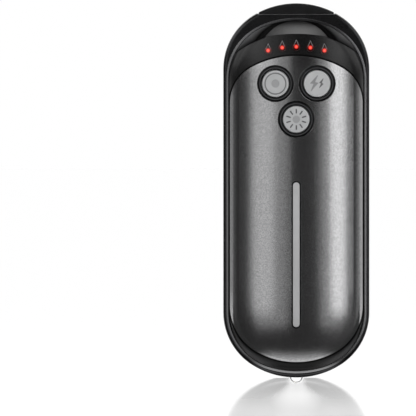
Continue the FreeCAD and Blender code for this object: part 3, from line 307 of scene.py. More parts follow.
@dataclass(frozen=True)
class Finish:
    """A surface with mottled colour, uneven gloss and a fine grain.

    Attributes:
        name: Name of the material.
        colour: Main colour.
        second: Colour of the patches.
        rough: Least and most roughness.
        metallic: 1 for bare metal.
        patches: Patches to the metre.
        grain: Grains to the metre.
        relief: Height of the grain in metres.
        stretch: Factor on the patches and grain along each axis.
        coat: Weight of a clear coat.
        speckle: Share by which single grains darken and lighten the colour.
        specular: Level of mirrored light, where 0.5 is plain plastic.
        edge: Radius in metres by which edges are softened, 0 for none.
        edge_wear_and_highlight: Colour of edges, partly wear and partly a painted highlight, or None.
    """

    name: str
    colour: Colour
    second: Colour
    rough: tuple[float, float]
    metallic: float = 0.0
    patches: float = 300.0
    grain: float = 4000.0
    relief: float = 0.00001
    stretch: Colour = (1.0, 1.0, 1.0)
    coat: float = 0.0
    speckle: float = 0.0
    specular: float = 0.5
    edge: float = 0.0
    edge_wear_and_highlight: Colour | None = None

    def material(self) -> bpy.types.Material:
        """Make the material once and hand it back each time."""
        made = bpy.data.materials.get(self.name)
        if made is None:
            made, graph = new_material(self.name)
            self.paint(graph)
        return made

    def soft_normal(self, graph: Graph) -> Value | None:
        """Normal that rounds the edges, or None where they stay sharp."""
        if not self.edge:
            return None
        return graph.node("ShaderNodeBevel", {"samples": 8}, {"Radius": self.edge})

    def base(self, graph: Graph) -> dict[str, Input]:
        """Work out what all finishes share.

        Args:
            graph: The material's tree.

        Returns:
            Inputs of the principled shader.
        """
        cloud = graph.noise(self.patches, 4.0, self.stretch)
        grain = graph.noise(self.grain, 2.0, self.stretch)
        colour = graph.mix(cloud.fade(0.3, 0.7), self.colour, self.second)
        if self.speckle:
            shade = graph.cells(self.grain).fade(0.0, 1.0, 1.0 - self.speckle, 1.0 + self.speckle)
            colour = graph.node("ShaderNodeVectorMath", {"operation": "SCALE"}, {0: colour, "Scale": shade})
        low, high = self.rough
        roughness = low + (high - low) * (cloud * 0.3 + grain * 0.7).fade(0.25, 0.75)
        soft = self.soft_normal(graph)
        # Edges turn lighter: partly wear, partly a painted highlight.
        if soft is not None and self.edge_wear_and_highlight is not None:
            sockets = {0: soft, 1: graph.node("ShaderNodeNewGeometry", outlet="Normal")}
            turn = graph.node("ShaderNodeVectorMath", {"operation": "DOT_PRODUCT"}, sockets, "Value")
            colour = graph.mix((1 - turn).fade(0.02, 0.2), colour, self.edge_wear_and_highlight)
        return {
            "Base_Color": colour,
            "Roughness": roughness,
            "Metallic": self.metallic,
            "Coat_Weight": self.coat,
            "Specular_IOR_Level": self.specular,
            "Normal": graph.bump(grain, self.relief, soft),
        }

    def paint(self, graph: Graph) -> None:
        """Fill the material's tree."""
        graph.surface(**self.base(graph))


@dataclass(frozen=True)
class Glow:
    """Where the five indicator drops lie and how their light spreads.

    Attributes:
        top: Height of the middle drop's centre.
        pitch: Distance between drops.
        arc: Radius of the curve on which the drops lie.
        lift: Height of the light above a drop's centre.
    """

    top: float = 42.3 * MM
    pitch: float = 4.15 * MM
    arc: float = 31.0 * MM
    lift: float = 0.27 * MM

    def centre(self, order: Array | float) -> tuple[Any, Any]:
        """x and z of a drop's centre on the arc, for the drops from -2 to 2."""
        across = order * self.pitch
        return across, self.top - (self.arc - np.sqrt(self.arc**2 - across**2))

    def distance(self, graph: Graph) -> Value:
        """Distance to the light of the nearest drop, worked out by rounding x to the pitch.

        Args:
            graph: The material's tree.

        Returns:
            Distance in metres.
        """
        x, _, z = graph.place()
        order = (x / self.pitch).whole().most(-2.0).least(2.0)
        middle = order * self.pitch
        rise = self.arc - (self.arc**2 - middle * middle).root()
        across = x - middle
        up = z - (self.top + self.lift - rise)
        return (across * across + up * up).root()


@dataclass(frozen=True)
class LitWindow(Finish):
    """Dark red light guide with a glow low in the middle of each drop.

    Attributes:
        glow: Where the drops lie.
        reach: Distances at which the glow ends and is full.
        dark: Light outside the glow.
        light: Light of the glow.
        core: Light of its middle.
        strength: Factor on the light.
    """

    glow: Glow = field(default_factory=Glow)
    reach: tuple[float, float] = (0.8 * MM, 0.15 * MM)
    dark: Colour = (0.006, 0.0, 0.0)
    light: Colour = (1.0, 0.05, 0.03)
    core: Colour = (1.0, 0.11, 0.08)
    strength: float = 1.5

    def paint(self, graph: Graph) -> None:
        """Fill the material's tree."""
        inputs = self.base(graph)
        lit = self.glow.distance(graph).fade(*self.reach)
        warm = graph.mix(lit.fade(0.75, 1.0), self.light, self.core)
        inputs["Emission_Color"] = graph.mix(lit, self.dark, warm)
        inputs["Emission_Strength"] = self.strength
        graph.surface(**inputs)


@dataclass(frozen=True)
class LitPanel(Finish):
    """Moulded black plastic, polished where it faces up, with the faint red light of the indicators painted
    on it.

    Attributes:
        glow: Where the drops lie.
        reach: Distances at which their light ends and is full.
        light: Light that they throw.
        polish_middle: x of the polish's middle.
        polish_aside: Distances from there at which the polish is full and faint.
        polish_height: Heights at which the polish is faint and full.
    """

    glow: Glow = field(default_factory=Glow)
    reach: tuple[float, float] = (1.45 * MM, 0.6 * MM)
    # light: Colour of the painted light that they throw.
    light: Colour = (0.19, 0.0095, 0.007)
    polish_middle: float = 1.2 * MM
    polish_aside: tuple[float, float] = (1.0 * MM, 9.0 * MM)
    polish_height: tuple[float, float] = (50.6 * MM, 47.2 * MM)

    def paint(self, graph: Graph) -> None:
        """Fill the material's tree."""
        inputs = self.base(graph)
        # Painted light: red emission round each drop, as the indicators would throw on the panel.
        painted_red_glow = self.glow.distance(graph).fade(*self.reach)
        inputs["Emission_Color"] = graph.mix(painted_red_glow * painted_red_glow, (0.0, 0.0, 0.0), self.light)
        inputs["Emission_Strength"] = 1.0
        _, _, facing = graph.split(graph.node("ShaderNodeNewGeometry", outlet="Normal"))
        x, _, z = graph.place()
        middle = (x - self.polish_middle).size().fade(*self.polish_aside, 1.0, 0.15)
        inputs["Coat_Weight"] = facing.fade(0.3, 0.6) * middle * z.fade(*self.polish_height, 0.1, 1.0)
        inputs.update({"Coat_Roughness": 0.35, "Coat_IOR": 1.75})
        graph.surface(**inputs)


@dataclass(frozen=True)
class PaintedLightFinish(Finish):
    """Finish that changes to its painted tone where the piece's attribute says so: painted shade in the signs
    on the button caps, a dark line on their rims, painted highlights on the rings' crests and the frame's
    bead, and painted sheen and shade on the slopes.
    """

    # Painted tone: colour of the painted shade, highlights and sheen.
    painted_tone: Colour = (0.13, 0.13, 0.135)

    def paint(self, graph: Graph) -> None:
        """Fill the material's tree."""
        inputs = self.base(graph)
        mark = graph.node("ShaderNodeAttribute", {"attribute_name": "painted_tone_share"}, None, "Fac")
        # Painted light: mix in the painted tone by the piece's attribute.
        inputs["Base_Color"] = graph.mix(mark, inputs["Base_Color"], self.painted_tone)
        graph.surface(**inputs)


@dataclass(frozen=True)
class Clear(Finish):
    """Clear moulded plastic, faintly lit from behind.

    Attributes:
        light: Light that it gives off.
        rim: Colour of a painted rim at grazing angles, a diffuse stand-in for the reflections of thick clear
            plastic.
    """

    light: Colour = (0.0, 0.0, 0.0)
    rim: Colour = (0.9, 0.9, 0.905)

    def paint(self, graph: Graph) -> None:
        """Fill the material's tree."""
        inputs = self.base(graph)
        inputs.update({"Transmission_Weight": 1.0, "IOR": 1.49})
        inputs.update({"Emission_Color": (*self.light, 1.0), "Emission_Strength": 1.0})
        # Painted rim: a diffuse shader at grazing angles in place of the plastic's own reflections.
        rim = graph.node("ShaderNodeLayerWeight", None, {"Blend": 0.5}, "Facing").fade(0.25, 0.55)
        edge = graph.node("ShaderNodeBsdfDiffuse", None, {"Color": (*self.rim, 1.0)})
        graph.surface(edge, rim, **inputs)


@dataclass(frozen=True)
class Tracked(Finish):
    """Sheet that carries printed conductors.

    Attributes:
        track: Colour of the conductors.
        width: Size of one printed field in metres.
    """

    track: Colour = (0.1, 0.35, 0.15)
    width: float = 0.0025

    def paint(self, graph: Graph) -> None:
        """Fill the material's tree with stripes that bend by a coarse noise."""
        inputs = self.base(graph)
        x, _, z = graph.place()
        bend = graph.noise(0.35 / self.width, 0.0).fade(0.3, 0.7)
        wave = ((x + z * bend) / self.width + bend * 4.0).stripes()
        inputs["Base_Color"] = graph.mix(wave, inputs["Base_Color"], self.track)
        graph.surface(**inputs)


FRAME_BLACK = Finish(
    "frame_black", (0.048, 0.048, 0.05), (0.056, 0.056, 0.058), (0.24, 0.32), metallic=1.0,
    grain=9000.0, relief=0.000002, edge=0.00018, edge_wear_and_highlight=(0.12, 0.12, 0.124),
)
COVER_RUBBER = Finish(
    "rubber_black", (0.005, 0.005, 0.0055), (0.008, 0.008, 0.0085), (0.55, 0.7), grain=6000.0, relief=0.00001,
    specular=0.2, edge=0.0002,
)
PANEL_BLACK = LitPanel(
    "panel_black", (0.004, 0.004, 0.0042), (0.005, 0.005, 0.0052), (0.22, 0.3), grain=8000.0, relief=0.000002,
    specular=0.4, edge=0.00015,
)
HOUSING_BLACK = Finish(
    "housing_black", (0.006, 0.006, 0.0065), (0.009, 0.009, 0.0095), (0.35, 0.5), grain=5000.0,
    relief=0.000008,
)
# Brighter copy of the frame's metal, so that the bead shows as a painted highlight; its painted tone is a
# painted highlight low on the foot.
CREST_BLACK = PaintedLightFinish(
    "crest_black", (0.145, 0.145, 0.149), (0.155, 0.155, 0.159), (0.2, 0.28), metallic=1.0, grain=9000.0,
    relief=0.000002, painted_tone=(0.27, 0.27, 0.275),
)
LEDGE_HIGHLIGHT = Finish(
    "ledge_grey", (0.28, 0.28, 0.285), (0.3, 0.3, 0.305), (0.3, 0.4), metallic=1.0, relief=0.000002,
)
# Near-black slopes whose painted tone is a painted sheen.
SLOPE_BLACK = PaintedLightFinish(
    "slope_black", (0.003, 0.003, 0.0031), (0.004, 0.004, 0.0041), (0.3, 0.4), grain=8000.0, relief=0.000002,
    specular=0.15, painted_tone=(0.26, 0.26, 0.266),
)
SEAM_BLACK = Finish(
    "seam_black", (0.0015, 0.0015, 0.0015), (0.002, 0.002, 0.002), (0.8, 0.9), relief=0.000002, specular=0.1,
)
BLASTED_METAL = Finish(
    "blasted_metal", (0.41, 0.41, 0.415), (0.42, 0.42, 0.425), (0.17, 0.2), metallic=1.0, patches=160.0,
    grain=7000.0, relief=0.000002, speckle=0.2, edge=0.00015, edge_wear_and_highlight=(0.5, 0.5, 0.51),
)
# Black rings whose painted tone is a painted highlight along the crest.
RING_BLACK = PaintedLightFinish(
    "ring_black", (0.005, 0.005, 0.0055), (0.008, 0.008, 0.0085), (0.2, 0.3), grain=5000.0, relief=0.000002,
    specular=0.12, painted_tone=(0.05, 0.05, 0.052),
)
# Silver-grey caps whose painted tone is the painted shade in their engraved signs.
CAP_SILVER = PaintedLightFinish(
    "cap_silver", (0.40, 0.405, 0.41), (0.43, 0.435, 0.44), (0.45, 0.6), grain=9000.0, relief=0.000006,
    painted_tone=(0.09, 0.09, 0.093),
)
WINDOW_RED = LitWindow("window_red", (0.008, 0.002, 0.002), (0.012, 0.003, 0.003), (0.15, 0.25))
TRIM_SILVER = Finish("trim_silver", (0.24, 0.24, 0.25), (0.3, 0.3, 0.31), (0.3, 0.4), metallic=0.2)
LED_RESIN = Finish("led_resin", (0.8, 0.78, 0.62), (0.72, 0.66, 0.4), (0.2, 0.35), coat=0.4)
DIFFUSER_WHITE = Finish(
    "diffuser_white", (0.42, 0.42, 0.425), (0.45, 0.45, 0.455), (0.35, 0.5), grain=8000.0, relief=0.000003,
    edge=0.0002,
)
BOARD_GREEN = Tracked("board_green", (0.03, 0.16, 0.07), (0.035, 0.18, 0.08), (0.35, 0.5))
HEATER_AMBER = Tracked(
    "heater_amber", (0.62, 0.33, 0.06), (0.7, 0.38, 0.07), (0.3, 0.45), track=(0.45, 0.4, 0.33), width=0.003,
)
LENS_CLEAR = Clear("lens_clear", (0.98, 0.98, 0.98), (1.0, 1.0, 1.0), (0.03, 0.06), light=(0.6, 0.6, 0.6))
STEEL = Finish(
    "plain_steel", (0.55, 0.55, 0.56), (0.62, 0.62, 0.63), (0.25, 0.4), metallic=1.0, stretch=(1.0, 1.0, 6.0),
)
CHIP_RESIN = Finish("chip_resin", (0.02, 0.02, 0.022), (0.03, 0.03, 0.032), (0.45, 0.6))
CELL_FOIL = Finish(
    "cell_foil", (0.6, 0.61, 0.63), (0.68, 0.69, 0.7), (0.25, 0.45), metallic=1.0, patches=500.0, grain=900.0,
    relief=0.00004,
)
FOAM_GREY = Finish(
    "foam_grey", (0.05, 0.05, 0.055), (0.09, 0.09, 0.1), (0.85, 0.95), grain=2500.0, relief=0.0001,
)
WIRE_RED = Finish("wire_red", (0.5, 0.03, 0.025), (0.58, 0.04, 0.03), (0.35, 0.5))
PLUNGER_BLACK = Finish("plunger_black", (0.03, 0.03, 0.032), (0.04, 0.04, 0.043), (0.35, 0.5))
SLOT_FINISH: Mapping[str, Finish] = {
    "frame": FRAME_BLACK,
    "cover_rubber": COVER_RUBBER,
    "black_plastic": HOUSING_BLACK,
    "plate": BLASTED_METAL,
    "heater_film": HEATER_AMBER,
    "window": WINDOW_RED,
    "led": LED_RESIN,
    "diffuser": DIFFUSER_WHITE,
    "board": BOARD_GREEN,
    "lens": LENS_CLEAR,
    "steel": STEEL,
    "chip": CHIP_RESIN,
    "cell": CELL_FOIL,
    "foam": FOAM_GREY,
    "wire": WIRE_RED,
    "ring": RING_BLACK,
    "cap": CAP_SILVER,
    "plunger": PLUNGER_BLACK,
}
NODE_FINISH: Mapping[str, Finish] = {"front_housing": PANEL_BLACK}


# Surfaces on grids


@dataclass(frozen=True)
class Pillow:
    """Front of the face: a circular arc across, whose crest droops on another arc towards both ends.

    Attributes:
        front: y of the crest.
        across: Radius of the arc across.
        droop: Radius of the arc along.
        straight: Height from which the crest droops, on both sides of the middle.
        edge_round: Radius of the rounding at the edge of the face.
    """

    front: float
    across: float = 45.0 * MM
    droop: float = 70.0 * MM
    straight: float = 28.0 * MM
    edge_round: float = 5.0 * MM

    def depth(self, x: Array, z: Array, proud: float = 0.0) -> Array:
        """y of the surface: droop circle whose radius is cut by the sag of the arc across.

        Args:
            x: Places across.
            z: Places along.
            proud: Height above the face.

        Returns:
            y at each place.
        """
        radius = self.across + proud
        sag = radius - np.sqrt(radius**2 - x**2)
        past = np.maximum(np.abs(z) - self.straight, 0.0)
        return self.front + self.droop - np.sqrt((self.droop + proud - sag) ** 2 - past**2)

    def rounded(self, x: Array, z: Array, edge: "Arch") -> Array:
        """y of the surface with its edge rounded by a ball that rolls along the inside of an outline.

        Args:
            x: Places across.
            z: Places along.
            edge: Outline of the face.

        Returns:
            y at each place: on the ball from where it touches the face, on the face before.
        """
        inset, side, up = edge.inset(x, z)
        lean = np.clip(self.edge_round - inset, 0.0, self.edge_round)
        ball_x, ball_z, tiny = x - side * lean, z - up * lean, 0.01 * MM
        ball = self.depth(ball_x, ball_z, -self.edge_round)
        slope = (self.depth(ball_x + side * tiny, ball_z + up * tiny, -self.edge_round) - ball) / tiny
        touch = self.edge_round * slope / np.hypot(1.0, slope)
        return np.where(lean > touch, ball - np.sqrt(self.edge_round**2 - lean**2), self.depth(x, z))


@dataclass(frozen=True)
class End:
    """One end of an outline: a wide arc between two corner arcs, all tangent.

    Attributes:
        tip: Height of the end, always positive.
        rise: Height of the arcs.
        corner: Radius of the corner arcs.
    """

    tip: float
    rise: float
    corner: float

    def wide(self, half: float) -> float:
        """Radius of the wide arc, from the triangle of both centres and the place where the arcs touch."""
        reach = half - self.corner
        return (reach**2 + self.rise**2 - self.corner**2) / (2.0 * (self.rise - self.corner))

    def arcs(self, half: float, offset: float, count: int) -> tuple[Array, Array]:
        """Walk over the end from right to left.

        Args:
            half: Half the width of the outline.
            offset: Distance outside the outline.
            count: Points on each arc.

        Returns:
            Places, and the outward direction at each.
        """
        reach, wide = half - self.corner, self.wide(half)
        meet = math.atan2(wide - self.rise, reach)
        turn = np.concatenate([
            np.linspace(0.0, meet, count), np.linspace(meet, np.pi - meet, count)[1:-1],
            np.linspace(np.pi - meet, np.pi, count),
        ])
        middle = np.abs(turn - np.pi / 2.0) < np.pi / 2.0 - meet
        normal = np.stack([np.cos(turn), np.sin(turn)], axis=-1)
        centre_x = np.where(middle, 0.0, reach * np.sign(normal[:, 0]))
        centre = np.stack([centre_x, self.tip - np.where(middle, wide, self.rise)], axis=-1)
        return centre + (np.where(middle, wide, self.corner) + offset)[:, None] * normal, normal


@dataclass(frozen=True)
class Arch:
    """Upright outline with straight sides and two rounded ends.

    Attributes:
        half: Half the width.
        top: Upper end.
        foot: Lower end.
    """

    half: float
    top: End
    foot: End

    def shrunk(self, gap: float) -> "Arch":
        """The outline drawn in evenly by a gap."""
        ends = [End(end.tip - gap, end.rise - gap, end.corner - gap) for end in (self.top, self.foot)]
        return Arch(self.half - gap, *ends)

    def outline(self, offset: float = 0.0, count: int = 60) -> tuple[Array, Array]:
        """Walk once round the outline: over the top, down the left side, under the foot and up again.

        Args:
            offset: Distance outside the outline.
            count: Points on each arc and each side.

        Returns:
            Places, and the outward direction at each.
        """
        upper, upper_normal = self.top.arcs(self.half, offset, count)
        lower, lower_normal = self.foot.arcs(self.half, offset, count)
        left = np.linspace(upper[-1], -lower[0], count)[1:-1]
        right = np.linspace(-lower[-1], upper[0], count)[1:-1]
        out = np.repeat([[-1.0, 0.0]], count - 2, axis=0)
        places = np.concatenate([upper, left, -lower, right])
        return places, np.concatenate([upper_normal, out, -lower_normal, -out])

    def inset(self, x: Array, z: Array) -> tuple[Array, Array, Array]:
        """Distance inside the outline: from a side, or from the arc in whose sector a place lies.

        Args:
            x: Places across.
            z: Places along.

        Returns:
            The distance, and the outward direction's two parts.
        """
        upper, across, up = z > 0.0, np.abs(x), np.abs(z)
        sizes = ((end.tip, end.rise, end.corner, end.wide(self.half)) for end in (self.top, self.foot))
        tip, rise, corner, wide = (np.where(upper, high, low) for high, low in zip(*sizes))
        meet = np.arctan2(wide - rise, self.half - corner)
        middle = np.arctan2(up - tip + wide, across) > meet
        from_x = across - np.where(middle, 0.0, self.half - corner)
        from_z = up - tip + np.where(middle, wide, rise)
        away = np.hypot(from_x, from_z)
        straight = up < tip - rise
        gap = np.where(straight, self.half - across, np.where(middle, wide, corner) - away)
        side = np.where(straight, 1.0, from_x / away) * np.sign(x)
        return gap, side, np.where(straight, 0.0, from_z / away) * np.sign(z)


def grid_faces(rows: int, columns: int, wrap_rows: bool, wrap_columns: bool) -> Array:
    """Quads between neighbours of a grid of points.

    Args:
        rows: Number of rows.
        columns: Number of points in a row.
        wrap_rows: Whether the last row joins the first.
        wrap_columns: Whether each row is a closed loop.

    Returns:
        Four point numbers to a face.
    """
    steps = (np.arange(rows - (not wrap_rows)), np.arange(columns - (not wrap_columns)))
    row, column = np.meshgrid(*steps, indexing="ij")
    below, beside = (row + 1) % rows, (column + 1) % columns
    corners = ((row, column), (row, beside), (below, beside), (below, column))
    return np.stack([line * columns + spot for line, spot in corners], axis=-1).reshape(-1, 4)


def stacked(x: Array, y: Array | float, z: Array | float) -> Array:
    """Points from their coordinates, where a single number holds for all of them."""
    return np.stack(np.broadcast_arrays(x, y, z), axis=-1)


def inward(places: Array, normals: Array, distance: Array) -> Array:
    """Flat places behind an outline: a row of distances to each of its places."""
    return places[:, None, :] - distance[..., None] * normals[:, None, :]


def capped(loops: Array) -> Array:
    """A row of loops, closed at both ends by the middle of the first and of the last."""
    first, last = (np.broadcast_to(loops[end].mean(axis=0), loops[:1].shape) for end in (0, -1))
    return np.concatenate([first, loops, last])


def wedge(flat: Array, upper: Array, lower: Array | float) -> Array:
    """Closed body between two surfaces over the same flat places.

    Args:
        flat: x and z of the places, in rows.
        upper: y of the front surface.
        lower: y of the back surface.

    Returns:
        A grid with a loop over the front and along the back to each row.
    """
    front, back = (stacked(flat[..., 0], depth, flat[..., 1]) for depth in (upper, lower))
    return capped(np.concatenate([front, back[:, ::-1]], axis=1))


def add_object(name: str, content: bpy.types.ID) -> bpy.types.Object:
    """Link new data to the scene as an object at the origin."""
    made = bpy.data.objects.new(name, content)
    bpy.context.collection.objects.link(made)
    return made


def add_piece(
    name: str,
    grids: Sequence[Array],
    wrap: tuple[bool, bool],
    painted_tone_share: Array | None = None,
    sharp: float = 40.0,
) -> bpy.types.Object:
    """Make one object of grids of points, with merged poles and outward faces.

    Args:
        name: Name of the object.
        grids: Arrays of rows, columns and three coordinates.
        wrap: Whether rows and columns close on themselves.
        painted_tone_share: Share from 0 to 1 of the finish's painted tone at each point, kept as an
            attribute.
        sharp: Angle in degrees from which an edge isn't shaded smooth.

    Returns:
        The object, linked to the scene.
    """
    faces, first = [], 0
    for grid in grids:
        rows, columns = grid.shape[:2]
        faces.append(grid_faces(rows, columns, *wrap) + first)
        first += rows * columns
    points = np.concatenate([grid.reshape(-1, 3) for grid in grids])
    mesh = bpy.data.meshes.new(name)
    mesh.from_pydata(points.tolist(), [], np.concatenate(faces).tolist())
    if painted_tone_share is not None:
        marks = mesh.attributes.new("painted_tone_share", "FLOAT", "POINT")
        marks.data.foreach_set("value", painted_tone_share.reshape(-1).astype(np.float32))
    shape = bmesh.new()
    shape.from_mesh(mesh)
    bmesh.ops.remove_doubles(shape, verts=shape.verts, dist=1e-7)
    bmesh.ops.recalc_face_normals(shape, faces=shape.faces)
    shape.to_mesh(mesh)
    shape.free()
    mesh.polygons.foreach_set("use_smooth", np.ones(len(mesh.polygons), dtype=bool))
    mesh.set_sharp_from_angle(angle=math.radians(sharp))
    return add_object(name, mesh)


def coat(shape: bpy.types.Object, finish: Finish) -> None:
    """Give an object one finish in place of all it has."""
    shape.data.materials.clear()
    shape.data.materials.append(finish.material())


def dress(piece: bpy.types.Object, body: str, finish: Finish) -> None:
    """Give a new piece its body and its finish."""
    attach(piece, body)
    coat(piece, finish)
    LOG.info("%s rides on %s in %s", piece.name, body, finish.name)


def tube(path: Array, radius: float, closed: bool) -> Array:
    """Carry a round section along a path on the front.

    Args:
        path: Points in order.
        radius: Radius of the section.
        closed: Whether the last point joins the first; an open tube is capped at both ends instead.

    Returns:
        A grid with a row to each section.
    """
    along = np.roll(path, -1, axis=0) - np.roll(path, 1, axis=0) if closed else np.gradient(path, axis=0)
    along /= np.linalg.norm(along, axis=1, keepdims=True)
    side = np.cross(along, (0.0, -1.0, 0.0))
    side /= np.linalg.norm(side, axis=1, keepdims=True)
    turn = np.linspace(0.0, 2.0 * np.pi, 10, endpoint=False)[:, None]
    ring = np.cos(turn) * side[:, None, :] + np.sin(turn) * np.cross(side, along)[:, None, :]
    rings = path[:, None, :] + radius * ring
    return rings if closed else capped(rings)


def step(gap: Array, soft: float) -> Array:
    """Smooth step: 1 where gap is under -soft, 0 where it is over soft."""
    share = np.clip((soft - gap) / (2.0 * soft), 0.0, 1.0)
    return share * share * (3.0 - 2.0 * share)


def outline_gap(across: Array, up: Array, corners: Sequence[tuple[float, float]]) -> Array:
    """Signed distance to a closed outline: to its nearest side, negative where a ray crosses it oddly often.

    Args:
        across: First coordinates of the places.
        up: Second coordinates of the places.
        corners: Corners of the outline in order.

    Returns:
        The distance at each place.
    """
    start = np.asarray(corners)
    side = np.roll(start, -1, axis=0) - start
    from_x, from_z = across[..., None] - start[:, 0], up[..., None] - start[:, 1]
    share = np.clip((from_x * side[:, 0] + from_z * side[:, 1]) / (side**2).sum(axis=1), 0.0, 1.0)
    gap = np.hypot(from_x - share * side[:, 0], from_z - share * side[:, 1]).min(axis=-1)
    straddles = (from_z < 0.0) != (from_z - side[:, 1] < 0.0)
    slope = side[:, 0] / np.where(side[:, 1] == 0.0, 1.0, side[:, 1])
    crossings = (straddles & (from_x < from_z * slope)).sum(axis=-1)
    return np.where(crossings % 2 == 1, -gap, gap)


class Icon(Enum):
    """Sign engraved on a button."""

    DIAL = "heat"
    BOLTS = "power"
    SUN = "light"

    def painted_tone(self) -> Array:
        """Darkness of the two forms of the sign, painted shade in their engraving."""
        return np.array({Icon.DIAL: (0.8, 0.36), Icon.BOLTS: (0.55, 0.9), Icon.SUN: (1.0, 0.36)}[self])

    def gaps(self, across: Array, up: Array) -> Array:
        """Signed distances to the two forms of the sign, in metres from the middle of the cap.

        Args:
            across: Places to the right of the middle.
            up: Places above the middle.

        Returns:
            Two layers of distances, negative inside a form.
        """
        radius = np.hypot(across, up)
        if self is Icon.DIAL:
            ring, half_line, dot = 3.06 * MM, 0.19 * MM, 1.18 * MM
            return np.stack([np.abs(radius - ring) - half_line, radius - dot])
        if self is Icon.SUN:
            sector = 2.0 * np.pi / 10.0
            middle, half_ray, thick, dot = 2.41 * MM, 0.49 * MM, 0.2 * MM, 1.1 * MM
            turn = np.arctan2(across, up)
            turn = turn - sector * np.round(turn / sector)
            beyond = np.maximum(np.abs(radius * np.cos(turn) - middle) - half_ray, 0.0)
            return np.stack([np.hypot(beyond, radius * np.sin(turn)) - thick, radius - dot])
        large = [(0.15, 2.4), (-1.95, 0.15), (-0.9, 0.0), (-1.8, -2.15), (0.25, 0.2), (-0.75, 0.4)]
        small = [(1.8, 1.5), (0.7, 0.25), (1.25, 0.12), (0.66, -1.2), (1.8, -0.08), (1.3, 0.16)]
        bolts = ((large, 0.1), (small, 0.08))
        return np.stack([(outline_gap(across / MM, up / MM, bolt) - fat) * MM for bolt, fat in bolts])


# Pieces of the object


